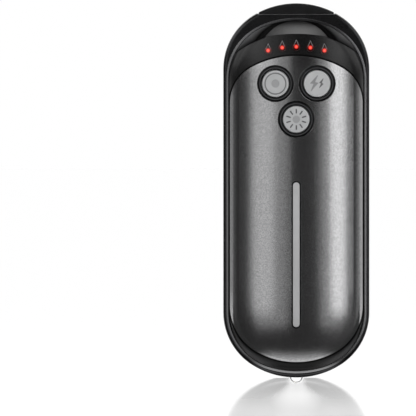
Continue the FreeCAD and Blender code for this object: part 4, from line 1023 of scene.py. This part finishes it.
@dataclass
class Button:
    """One push button: an engraved cap in a black ring.

    Attributes:
        icon: Sign on the cap, whose value starts the names of the nodes.
        face: Surface of the front plate.
        cap_radius: Radius of the cap.
        cap_proud: Height of the cap above the face.
        rim: Radius of the cap's rounded rim.
        engraved: Depth of the sign.
        flange_radius: Radius of the flange that holds the cap in the ring.
        flange_top: y of the flange's front.
        flange_foot: y of the flange's back.
        stem_radius: Radius of the stem behind the flange.
        bore: Radius of the ring's bore.
        ring_radius: Outer radius of the ring.
        ring_proud: Height of the ring's crest above the face.
        crest: Radius of the crest.
        collar_radius: Radius of the ring's collar behind the plate.
        collar_depth: Depth of the collar below the face.
        ring_foot: y of the ring's back.
        room_radius: Radius of the room for the flange.
        room_top: y of the front of that room.
        fall_in: Height by which the ring falls from its crest to the bore.
        fall_out: Height by which it falls from its crest outwards.
        painted_crest_highlight: Half width and softness of the painted highlight line on the crest.
        rim_line: Width and softness of the dark line on the cap's rim.
        sign_edge: Softness of the sign's edge.
        columns: Points round the button.
    """

    icon: Icon
    face: Pillow
    cap_radius: float = 4.0 * MM
    cap_proud: float = 0.2 * MM
    rim: float = 0.3 * MM
    engraved: float = 0.07 * MM
    flange_radius: float = 4.5 * MM
    flange_top: float = -22.3 * MM
    flange_foot: float = -21.5 * MM
    stem_radius: float = 1.5 * MM
    bore: float = 4.2 * MM
    ring_radius: float = 5.25 * MM
    ring_proud: float = 0.35 * MM
    crest: float = 4.62 * MM
    collar_radius: float = 5.95 * MM
    collar_depth: float = 2.6 * MM
    ring_foot: float = -19.8 * MM
    room_radius: float = 4.85 * MM
    room_top: float = -22.4 * MM
    fall_in: float = 0.34 * MM
    fall_out: float = 0.3 * MM
    painted_crest_highlight: tuple[float, float] = (0.14 * MM, 0.06 * MM)
    rim_line: tuple[float, float] = (0.13 * MM, 0.05 * MM)
    sign_edge: float = 0.035 * MM
    columns: int = 300

    def __post_init__(self) -> None:
        """Read the button's middle from its ring."""
        low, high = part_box(f"{self.icon.value}_button_ring")
        self.middle = (low + high) / 2.0
        self.stem_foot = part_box(f"{self.icon.value}_button_cap")[1].y

    def polar(self, radii: Array) -> tuple[Array, Array]:
        """x and z on circles round the middle, a row to a radius: radius times cosine and sine."""
        turn = np.linspace(0.0, 2.0 * np.pi, self.columns, endpoint=False)
        return radii[:, None] * np.cos(turn), radii[:, None] * np.sin(turn)

    def place(self, across: Array, up: Array, depth: Array) -> Array:
        """Points in the frame from places round the middle and their y."""
        return stacked(across + self.middle.x, depth, up + self.middle.z)

    def on_face(self, across: Array, up: Array, proud: float = 0.0) -> Array:
        """y of the face, or of a surface proud of it, at places round the middle."""
        return self.face.depth(across + self.middle.x, up + self.middle.z, proud)

    def turned(self, profile: Sequence[tuple[float, float]]) -> Array:
        """Carry a profile of radii and their y round the middle."""
        radii, depths = np.array(profile).T
        return self.place(*self.polar(radii), depths[:, None])

    def build_cap(self) -> bpy.types.Object:
        """Make the cap: the face's surface with a quarter round rim, a straight side, a flange and a stem.

        Returns:
            The cap.
        """
        flat = np.linspace(0.0, self.cap_radius - self.rim, 88)
        bend = np.linspace(0.0, np.pi / 2.0, 9)[1:]
        radii = np.concatenate([flat, self.cap_radius - self.rim * (1.0 - np.sin(bend))])
        drop = np.concatenate([np.zeros_like(flat), self.rim * (1.0 - np.cos(bend))])
        across, up = self.polar(radii)
        forms = step(self.icon.gaps(across, up), self.sign_edge)
        mark = forms.max(axis=0)
        # Painted shade in the engraved sign, then the dark line on the rim, as the cap's painted tone.
        tint = (forms * self.icon.painted_tone()[:, None, None]).max(axis=0)
        width, soft = self.rim_line
        tint = np.maximum(tint, step(self.cap_radius - width - radii, soft)[:, None])
        top = self.on_face(across, up, self.cap_proud)
        front = self.place(across, up, top + drop[:, None] + self.engraved * mark)
        back = self.turned([
            (self.cap_radius, self.flange_top), (self.flange_radius, self.flange_top),
            (self.flange_radius, self.flange_foot), (self.stem_radius, self.flange_foot),
            (self.stem_radius, self.stem_foot), (0.0, self.stem_foot),
        ])
        marks = np.concatenate([tint, np.zeros(back.shape[:2])])
        return add_piece(f"{self.icon.value}_cap", [np.concatenate([front, back])], (False, True), marks)

    def build_ring(self) -> bpy.types.Object:
        """Make the ring: a rounded profile with a crest that follows the face, carried round the middle.

        Returns:
            The ring.
        """
        inner = np.linspace(0.0, 1.0, 9)
        outer = np.linspace(0.0, 1.0, 17)[1:]
        rise, fall = self.crest - self.bore, self.ring_radius - self.crest
        radii = np.concatenate([self.bore + rise * inner, self.crest + fall * outer])
        sunk = np.concatenate([self.fall_in * (1.0 - inner) ** 2.2, self.fall_out * outer**2.6])
        across, up = self.polar(radii)
        front = self.place(across, up, self.on_face(across, up, self.ring_proud) + sunk[:, None])
        neck_across, neck_up = self.polar(np.array([self.ring_radius, self.collar_radius]))
        neck = self.place(neck_across, neck_up, self.on_face(neck_across, neck_up) + self.collar_depth)
        foot = self.turned([
            (self.collar_radius, self.ring_foot), (self.room_radius, self.ring_foot),
            (self.room_radius, self.room_top), (self.bore, self.room_top),
        ])
        grid = np.concatenate([front, neck, foot])
        marks = np.zeros(grid.shape[:2])
        # Painted highlight along the ring's crest, as its painted tone.
        half, soft = self.painted_crest_highlight
        marks[: len(radii)] = step(np.abs(radii - self.crest) - half, soft)[:, None]
        return add_piece(f"{self.icon.value}_ring", [grid], (True, True), marks)

    def build(self) -> None:
        """Make and dress the cap and the ring in place of their solids."""
        cap = self.build_cap()
        dress(cap, f"{self.icon.value}_button", CAP_SILVER)
        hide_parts(f"{self.icon.value}_button_cap")
        ring = self.build_ring()
        dress(ring, "body", RING_BLACK)
        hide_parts(f"{self.icon.value}_button_ring")


@dataclass
class IndicatorTrim:
    """Thin silver edges of the five indicator drops.

    Attributes:
        face: Surface of the front.
        glow: Where the drops lie.
        radius: Radius of a drop's round end.
        point: Height of its point above the centre of the round end.
        wire: Radius of the edge's section.
    """

    face: Pillow
    glow: Glow = field(default_factory=Glow)
    radius: float = 0.9 * MM
    point: float = 2.3 * MM
    wire: float = 0.065 * MM

    def path(self, order: float) -> Array:
        """One leg, the point and the other leg of a drop: the upper parts of lines that touch the round end.

        Args:
            order: Number of the drop, from -2 to 2.

        Returns:
            Points on the face.
        """
        touch = math.acos(self.radius / self.point)
        foot = self.radius * np.array([math.sin(touch), math.cos(touch)])
        half = np.linspace(foot, (0.0, self.point), 24)[3:]
        other = half[-2::-1] * (-1.0, 1.0)
        across, up = np.concatenate([half, other]).T
        x, z = self.glow.centre(order)
        across, up = across + x, up + z
        return stacked(across, self.face.depth(across, up), up)

    def build(self) -> None:
        """Carry a round section along the edges of all drops."""
        grids = [tube(self.path(order), self.wire, closed=False) for order in range(-2, 3)]
        trim = add_piece("indicator_trim", grids, (False, True), sharp=60.0)
        dress(trim, "body", TRIM_SILVER)


@dataclass
class FrameCrest:
    """Raised bead along the frame's opening and the slope that falls from it to the lanyard's pockets.

    Attributes:
        opening: Outline of the frame's opening.
        front: y of the frame's front.
        bead_width: Width of the bead.
        bead_height: Height of the bead's middle.
        bead_fall: Slope by which the bead falls outwards.
        bead_offset: Distance of the bead's middle outside the opening.
        sunk: Depth of the bead's foot in the frame.
        shelf: Depth of the shelf behind the frame's front.
        tilt: Angle of the slope in degrees.
        gap: Gap between the slope and the frame.
        panel: Radius and height of the indicator panel's round top.
        pocket: Radius and height of the round pockets for the lanyard.
        slope_width: Widths between which the slope is there.
        painted_foot_highlight: Height below which the bead is painted brighter as a highlight, and softness
            of that change.
    """

    opening: Arch
    front: float
    bead_width: float = 0.8 * MM
    bead_height: float = 0.14 * MM
    bead_fall: float = 0.22
    bead_offset: float = 0.19 * MM
    sunk: float = 0.35 * MM
    shelf: float = 1.3 * MM
    tilt: float = 15.0
    gap: float = 0.12 * MM
    panel: tuple[float, float] = (29.3 * MM, 17.3 * MM)
    pocket: tuple[float, float] = (14.2 * MM, 36.6 * MM)
    slope_width: tuple[float, float] = (0.03 * MM, 20.0 * MM)
    painted_foot_highlight: tuple[float, float] = (-46.0 * MM, 5.0 * MM)

    def build_bead(self) -> bpy.types.Object:
        """Carry a bevel with rounded edges along the opening: a sloped line times a steep even power.

        Returns:
            The bead.
        """
        places, normals = self.opening.outline(self.bead_offset)
        share = np.cos(np.linspace(0.0, np.pi, 21))
        across = self.bead_width / 2.0 * share
        rise = (self.bead_height - self.bead_fall * across) * np.sqrt(1.0 - share**6)
        rise[[0, -1]] = -self.sunk
        flat = inward(places, normals, -across[None, :])
        points = stacked(flat[..., 0], self.front - rise, flat[..., 1])
        # Painted highlight on the bead below that height.
        height, soft = self.painted_foot_highlight
        bright = step(points[..., 2] - height, soft)
        return add_piece("frame_crest", [points], (True, True), bright, sharp=75.0)

    @staticmethod
    def reach(places: Array, heading: Array, disc: tuple[float, float]) -> Array:
        """Distance along lines to a disc round the middle plane, from the quadratic of line and circle.

        Args:
            places: Points outside the disc.
            heading: Direction at each point.
            disc: Radius and height of the disc.

        Returns:
            The distance, which is large where a line misses and 0 inside the disc.
        """
        radius, height = disc
        start = places - np.array([0.0, height])
        along = (start * heading).sum(axis=1)
        rest = along**2 - (start**2).sum(axis=1) + radius**2
        return np.where(rest > 0.0, np.maximum(-along - np.sqrt(np.maximum(rest, 0.0)), 0.0), 1.0)

    def build_slope(self) -> bpy.types.Object:
        """Fill the shelf inside the opening with a wedge that is highest at the frame.

        Returns:
            The slope.
        """
        places, normals = self.opening.outline(-self.gap)
        upper = places[:, 1] > self.panel[1]
        places, normals = places[upper], normals[upper]
        width = np.minimum(*(self.reach(places, -normals, disc) for disc in (self.panel, self.pocket)))
        least, most = self.slope_width
        wide = (width > least) & (width < most)
        shelf_y = self.front + self.shelf
        share = np.linspace(0.0, 1.0, 10)
        grids = []
        for side in (places[:, 0] > 0.0, places[:, 0] < 0.0):
            keep = wide & side
            reach = width[keep, None]
            height = math.tan(math.radians(self.tilt)) * reach * (1.0 - share) ** 1.15
            flat = inward(places[keep], normals[keep], reach * share)
            grids.append(wedge(flat, shelf_y - height - 0.01 * MM, shelf_y))
        # Painted sheen, lightest at the frame, fading to painted shade towards the pockets.
        row = np.concatenate([0.6 * (1.0 - share) ** 3 + 0.4 * (1.0 - share), np.zeros_like(share)])
        marks = np.concatenate([np.broadcast_to(row, grid.shape[:2]) for grid in grids])
        return add_piece("shelf_slope", grids, (False, True), marks, sharp=50.0)

    def build(self) -> None:
        """Make and dress the bead and the slope."""
        dress(self.build_bead(), "body", CREST_BLACK)
        dress(self.build_slope(), "body", SLOPE_BLACK)


@dataclass
class Seams:
    """Black joints round the front plate and the light bar, and an edge under the port cover in lighter metal
    than the frame, as a painted highlight.

    Attributes:
        face: Surface of the front.
        edge: Outline of the face.
        plate: Outline of the front plate.
        bar: Middle line of the slot round the light bar.
        plate_wire: Radius of the section of the plate's joint.
        bar_wire: Radius of the section of the light bar's joint.
        ledge: Half length and height of the straight edge under the port cover.
        ledge_wire: Radius of that edge.
        sunk: Depths of the middles of the plate's and the light bar's joint below the face.
        plate_gap: Distance of the plate's joint outside the plate.
        foot_top: Height up to which the slope under the plate reaches.
        foot_gap: Gap between that slope and the edge of the face.
        skin: Height of its skin above the face and depth below it.
        painted_sheen_from: Distance from the middle at which the painted sheen begins, and softness.
        painted_sheen_to: Distance at which the painted sheen ends, and softness.
    """

    face: Pillow
    edge: Arch
    plate: Arch
    bar: Arch
    plate_wire: float = 0.3 * MM
    bar_wire: float = 0.26 * MM
    ledge: tuple[float, float] = (11.4 * MM, 51.93 * MM)
    ledge_wire: float = 0.1 * MM
    sunk: tuple[float, float] = (0.14 * MM, 0.15 * MM)
    plate_gap: float = 0.1 * MM
    foot_top: float = -40.0 * MM
    foot_gap: float = 0.04 * MM
    skin: tuple[float, float] = (0.03 * MM, 0.2 * MM)
    painted_sheen_from: tuple[float, float] = (9.0 * MM, 5.0 * MM)
    painted_sheen_to: tuple[float, float] = (17.0 * MM, 2.5 * MM)

    def joint(self, outline: Arch, offset: float, wire: float, sunk: float) -> Array:
        """Lay a tube of radius wire outside an outline, with its middle sunk below the face."""
        x, z = outline.outline(offset)[0].T
        return tube(stacked(x, self.face.rounded(x, z, self.edge) + sunk, z), wire, closed=True)

    def build_foot(self) -> bpy.types.Object:
        """Skin of the slope under the plate: from the edge of the face inwards until the plate's joint.

        Each line is walked in strides of the distance to the plate, which can't overshoot.

        Returns:
            The skin, with a painted sheen that is lighter to both sides and outwards.
        """
        places, normals = self.edge.outline(-self.foot_gap)
        low = places[:, 1] < self.foot_top
        places, normals = places[low], normals[low]
        width = np.zeros(len(places))
        for _ in range(12):
            spot = places - width[:, None] * normals
            width += np.maximum(-self.plate.inset(spot[:, 0], spot[:, 1])[0] - 1.4 * self.plate_wire, 0.0)
        share = np.linspace(0.0, 1.0, 14)
        flat = inward(places, normals, width[:, None] * share)
        depth = self.face.rounded(flat[..., 0], flat[..., 1], self.edge)
        proud, sunk = self.skin
        skin = wedge(flat, depth - proud, depth + sunk)
        # Painted sheen: lighter to both sides and towards the edge of the face.
        aside = np.abs(skin[..., 0])
        (start, soft_start), (end, soft_end) = self.painted_sheen_from, self.painted_sheen_to
        mark = step(start - aside, soft_start) * step(aside - end, soft_end)
        mark = 0.45 * mark * np.concatenate([(1.0 - share) ** 0.8, np.zeros_like(share)])
        return add_piece("foot_slope", [skin], (False, True), mark, sharp=60.0)

    def build(self) -> None:
        """Make and dress the joints, the slope and the edge."""
        dress(self.build_foot(), "body", SLOPE_BLACK)
        plate_sunk, bar_sunk = self.sunk
        grids = [
            self.joint(self.plate, self.plate_gap, self.plate_wire, plate_sunk),
            self.joint(self.bar, 0.0, self.bar_wire, bar_sunk),
        ]
        dress(add_piece("joints", grids, (True, True), sharp=60.0), "body", SEAM_BLACK)
        half, height = self.ledge
        x = np.linspace(-half, half, 40)
        line = stacked(x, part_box("mid_frame")[0].y, height)
        # Lighter grey metal than the frame, so that the edge shows as a painted highlight.
        edge = add_piece("ledge_edge", [tube(line, self.ledge_wire, closed=False)], (False, True), sharp=60.0)
        dress(edge, "body", LEDGE_HIGHLIGHT)


class ModelNodes:
    """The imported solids, which keep their shape and get a finish each."""

    def dress(self, record: Mapping[str, Any]) -> None:
        """Give every node the finish of its slot.

        Args:
            record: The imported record, whose subparts name each node's slot.
        """
        for subpart in record["subparts"]:
            node = subpart["node"]
            finish = NODE_FINISH.get(node, SLOT_FINISH[subpart["material_slot"]])
            coat(bpy.data.objects[node], finish)
            LOG.info("%s dressed in %s", node, finish.name)


# Stage


@dataclass(frozen=True)
class Softbox:
    """Rectangular lamp that faces the object.

    Attributes:
        name: Name of the lamp.
        azimuth: Degrees from the view direction, to the right.
        elevation: Degrees above the object's middle.
        width: Width in metres.
        height: Height in metres.
        glow: Radiance, where 1 renders white.
        distance: Metres from the object's middle.
        glossy: Whether shiny surfaces mirror it.
        diffuse: Whether it lights matte surfaces.
    """

    name: str
    azimuth: float
    elevation: float
    width: float
    height: float
    glow: float
    distance: float = 0.5
    glossy: bool = True
    diffuse: bool = True

    def build(self, middle: Vector) -> None:
        """Set up the lamp; its power is radiance times area times pi.

        Args:
            middle: Point that the lamp faces.
        """
        lamp = bpy.data.lights.new(self.name, "AREA")
        lamp.shape = "RECTANGLE"
        lamp.size, lamp.size_y = self.width, self.height
        lamp.energy = self.glow * self.width * self.height * math.pi
        made = add_object(self.name, lamp)
        turn, rise = math.radians(self.azimuth), math.radians(self.elevation)
        away = Vector((math.sin(turn) * math.cos(rise), -math.cos(turn) * math.cos(rise), math.sin(rise)))
        made.location = middle + away * self.distance
        made.rotation_euler = away.to_track_quat("Z", "Y").to_euler()
        made.visible_glossy, made.visible_diffuse = self.glossy, self.diffuse
        made.visible_camera = False


@dataclass(frozen=True)
class Ground:
    """White floor at the object's foot, which keeps its shadow and a soft mirror image.

    Attributes:
        name: Name of the object.
        level: Height of the surface.
        span: Front and back end of the surface.
        rough: Roughness of its gloss.
        half: Half its width.
        colour: Colour under the lamps.
        glare: Share and strength of the white that the camera sees on it.
        card: Brightness of the dark cards beside the object, which only shiny surfaces see.
        under: Half width, middle and half depth of the oval below the object that they don't see, a painted
            shadow in their mirror image.
    """

    name: str
    level: float
    span: tuple[float, float]
    rough: float
    half: float = 3.0
    colour: tuple[float, float, float, float] = (0.8, 0.8, 0.8, 1.0)
    glare: tuple[float, float] = (0.3, 1.36)
    card: float = 0.06
    under: tuple[float, float, float] = (14.0 * MM, -12.2 * MM, 8.4 * MM)

    def seen(self, graph: Graph, below: Value) -> Value:
        """A shader under the glare that the camera adds."""
        share, strength = self.glare
        return graph.blend(share * graph.rays()[0], below, graph.white(strength))

    def lit(self, graph: Graph) -> Value:
        """The glossy surface, as the camera sees it."""
        sockets = {"Base Color": self.colour, "Roughness": self.rough, "Specular IOR Level": 0.5}
        return self.seen(graph, graph.node("ShaderNodeBsdfPrincipled", None, sockets))

    def shader(self, graph: Graph) -> Value:
        """Work out the surface: for shiny ones it is white round the object, with a dark card at both sides
        and a painted shadow below the object.

        Args:
            graph: The material's tree.

        Returns:
            The shader.
        """
        side, back, _ = graph.place()
        width, middle, depth = self.under
        across, along = side / width, (back - middle) / depth
        # Painted shadow: shiny surfaces see through the oval below the object.
        outside = (across * across + along * along).root().fade(0.85, 1.1)
        aside = side.size()
        near = aside.fade(60.0 * MM, 500.0 * MM, 1.0, 0.45) * back.fade(-38.0 * MM, -28.0 * MM) * outside
        white = graph.blend(near, graph.node("ShaderNodeBsdfTransparent"), graph.white(1.0))
        beside = back.fade(0.0, -12.0 * MM) * back.fade(-42.0 * MM, -36.0 * MM)
        cards = beside * aside.fade(9.0 * MM, 20.0 * MM)
        mirrored = graph.blend(cards, white, graph.white(self.card))
        return graph.blend(graph.rays()[1], self.lit(graph), mirrored)

    def build(self) -> bpy.types.Object:
        """Make the surface, a flat grid, and mark it as stage.

        Returns:
            The object.
        """
        x, y = np.meshgrid(np.linspace(-self.half, self.half, 3), np.linspace(*self.span, 3))
        floor = add_piece(self.name, [stacked(x, y, self.level)], (False, False))
        material, graph = new_material(f"{self.name}_white")
        graph.node("ShaderNodeOutputMaterial", None, {"Surface": self.shader(graph)})
        floor.data.materials.append(material)
        floor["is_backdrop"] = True
        return floor


@dataclass(frozen=True)
class Sheet(Ground):
    """Clear sheet in front, level with the frame's foot, on which the torch's light is painted.

    Attributes:
        start: y at which the sheet begins and is whole.
        sight: Slope and start of the main view's line to the lens, along which the sheet is open.
        opening: Distances from that line at which the sheet is whole and is open.
        beam: Half width of the beam's core, then slope, start and least width of its soft edge.
    """

    start: tuple[float, float] = (-31.0 * MM, -37.5 * MM)
    sight: tuple[float, float] = (-0.02095, 0.22 * MM)
    opening: tuple[float, float] = (2.4 * MM, 2.0 * MM)
    beam: tuple[float, float, float, float] = (1.4 * MM, -0.035, 2.3 * MM, 2.0 * MM)

    def shader(self, graph: Graph) -> Value:
        """Work out the sheet: matte along the beam and far in front, glossy beside it, clear before the lens.

        Args:
            graph: The material's tree.

        Returns:
            The shader.
        """
        side, back, _ = graph.place()
        half, spread, offset, least = self.beam
        away = (side.size() - half) / (back * spread - offset).most(least)
        # Painted torch beam: along it the sheet turns matte white, without the mirror image.
        light = away.fade(1.0, 0.0) * back.fade(-0.215, -0.515, 0.85, 0.45)
        slope, middle = self.sight
        drop = back * slope - middle
        window = (side * side + drop * drop).root().fade(*self.opening)
        matte = self.seen(graph, graph.node("ShaderNodeBsdfDiffuse", None, {"Color": self.colour}))
        bright = graph.blend(light.most(back.fade(-0.115, -0.53, 0.0, 0.34)), self.lit(graph), matte)
        clear = graph.node("ShaderNodeBsdfTransparent")
        return graph.blend(back.fade(*self.start) * (1 - window), clear, bright)

    def build(self) -> bpy.types.Object:
        """Make the sheet, which neither lights, shades nor shows in the object.

        Returns:
            The object.
        """
        made = super().build()
        made.visible_diffuse = made.visible_glossy = False
        made.visible_transmission = made.visible_shadow = False
        return made


@dataclass
class Studio:
    """Camera, lamps, world and floor.

    Attributes:
        low: Lowest corner of the object's box.
        high: Highest corner of the object's box.
        view_width: Metres across the picture.
        tilt: Degrees by which the camera looks down.
        image: Pixels along each side of the picture.
        middle_x: Pixel column of the object's middle.
        middle_y: Pixel row of the object's middle.
        distance: Metres from the camera to the object.
        fill: Light of the world on matte surfaces.
        lamps: All lamps.
    """

    low: Vector
    high: Vector
    view_width: float = 122.43 * MM
    tilt: float = 1.2
    image: float = 416.0
    middle_x: float = 296.3
    middle_y: float = 190.5
    distance: float = 1.5
    fill: Colour = (0.42, 0.42, 0.42)
    lamps: tuple[Softbox, ...] = (
        Softbox("left_core", -26.5, 9.3, 0.17, 0.5, 0.5),
        Softbox("left_spread", -19.5, 7.0, 0.25, 0.6, 0.38),
        Softbox("right_core", 33.0, 9.3, 0.112, 0.5, 1.35),
        Softbox("right_spread", 27.5, 7.0, 0.17, 0.6, 0.35),
        Softbox("top_softbox", 0.0, 55.0, 0.26, 0.1, 1.5),
        Softbox("lug_light", 180.0, 76.0, 0.3, 0.38, 1.05),
        Softbox("front_fill", 8.0, 20.0, 0.5, 0.5, 1.25, glossy=False),
        Softbox("panel_left", -50.0, 31.0, 0.36, 0.18, 1.35, diffuse=False),
        Softbox("panel_right", 52.0, 31.0, 0.32, 0.18, 0.95, diffuse=False),
        Softbox("edge_left", -92.0, 34.0, 0.4, 0.3, 1.0, diffuse=False),
        Softbox("edge_right", 92.0, 34.0, 0.4, 0.3, 1.0, diffuse=False),
        Softbox("rear_softbox", 158.0, 8.0, 0.2, 0.6, 1.0),
        Softbox("rear_strip", 215.0, 4.0, 0.1, 0.6, 1.8),
    )

    def build_camera(self) -> None:
        """Place a parallel camera so that the object's middle falls on its pixel."""
        camera = bpy.data.cameras.new("camera")
        camera.type = "ORTHO"
        camera.ortho_scale = self.view_width
        camera.clip_start, camera.clip_end = 0.01, 10.0
        made = add_object("camera", camera)
        tilt = math.radians(self.tilt)
        look = Vector((0.0, math.cos(tilt), -math.sin(tilt)))
        up = Vector((0.0, math.sin(tilt), math.cos(tilt)))
        pixel = self.view_width / self.image
        half = self.image / 2.0
        centre = Vector((0.0, (self.low.y + self.high.y) / 2.0, 0.0))
        shift = Vector((half - self.middle_x, 0.0, 0.0)) * pixel + up * ((self.middle_y - half) * pixel)
        made.location = centre + shift - look * self.distance
        made.rotation_euler = look.to_track_quat("-Z", "Y").to_euler()
        bpy.context.scene.camera = made

    def build_world(self) -> None:
        """White for the camera, bright behind and dim in front for mirrored rays, even for the rest."""
        world = bpy.data.worlds.new("studio")
        bpy.context.scene.world = world
        world.use_nodes = True
        graph = Graph(world.node_tree)
        right, back, up = graph.split(graph.node("ShaderNodeTexCoord", outlet="Generated"))
        camera, mirror = graph.rays()
        around = back.fade(-0.8, 0.5, 0.045, 0.44) * (1 + 0.45 * right)
        around = (around + back.fade(0.75, 0.97, 0.0, 0.57)) * up.fade(0.05, 0.4, 1.0, 0.15)
        grey = graph.node("ShaderNodeCombineXYZ", None, {axis: around for axis in range(3)})
        colour = graph.mix(camera, graph.mix(mirror, self.fill, grey), WHITE[:3])
        shader = graph.node("ShaderNodeBackground", None, {"Color": colour, "Strength": 1.0})
        graph.node("ShaderNodeOutputWorld", None, {"Surface": shader})

    def build(self) -> None:
        """Set everything up."""
        bpy.context.scene.view_settings.view_transform = "Standard"
        middle = (self.low + self.high) / 2.0
        for lamp in self.lamps:
            lamp.build(middle)
        self.build_world()
        Ground("floor", self.low.z, (-3.0, 3.0), 0.1).build()
        Sheet("sheet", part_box("mid_frame")[0].z + 0.3 * MM, (-1.2, -22.0 * MM), 0.04).build()
        self.build_camera()


def main() -> None:
    """Load the model, build every piece in order and note the sizes."""
    logging.basicConfig(level=logging.INFO)
    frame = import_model()
    model_low, model_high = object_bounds()
    face = Pillow(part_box("front_plate")[0].y)
    ModelNodes().dress(frame["record"])
    for icon in Icon:
        Button(icon, face).build()
    IndicatorTrim(face).build()
    opening = Arch(20.1 * MM, End(50.3 * MM, 17.5 * MM, 17.0 * MM), End(53.2 * MM, 17.5 * MM, 17.0 * MM))
    plate = Arch(19.55 * MM, End(40.0 * MM, 14.0 * MM, 12.1 * MM), End(50.4 * MM, 16.6 * MM, 15.6 * MM))
    bar = Arch(1.18 * MM, End(2.85 * MM, 1.15 * MM, 1.0 * MM), End(40.15 * MM, 1.15 * MM, 1.0 * MM))
    FrameCrest(opening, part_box("mid_frame")[0].y).build()
    Seams(face, opening.shrunk(0.1 * MM), plate, bar).build()
    Studio(model_low, model_high).build()


if __name__ == "__main__":
    main()
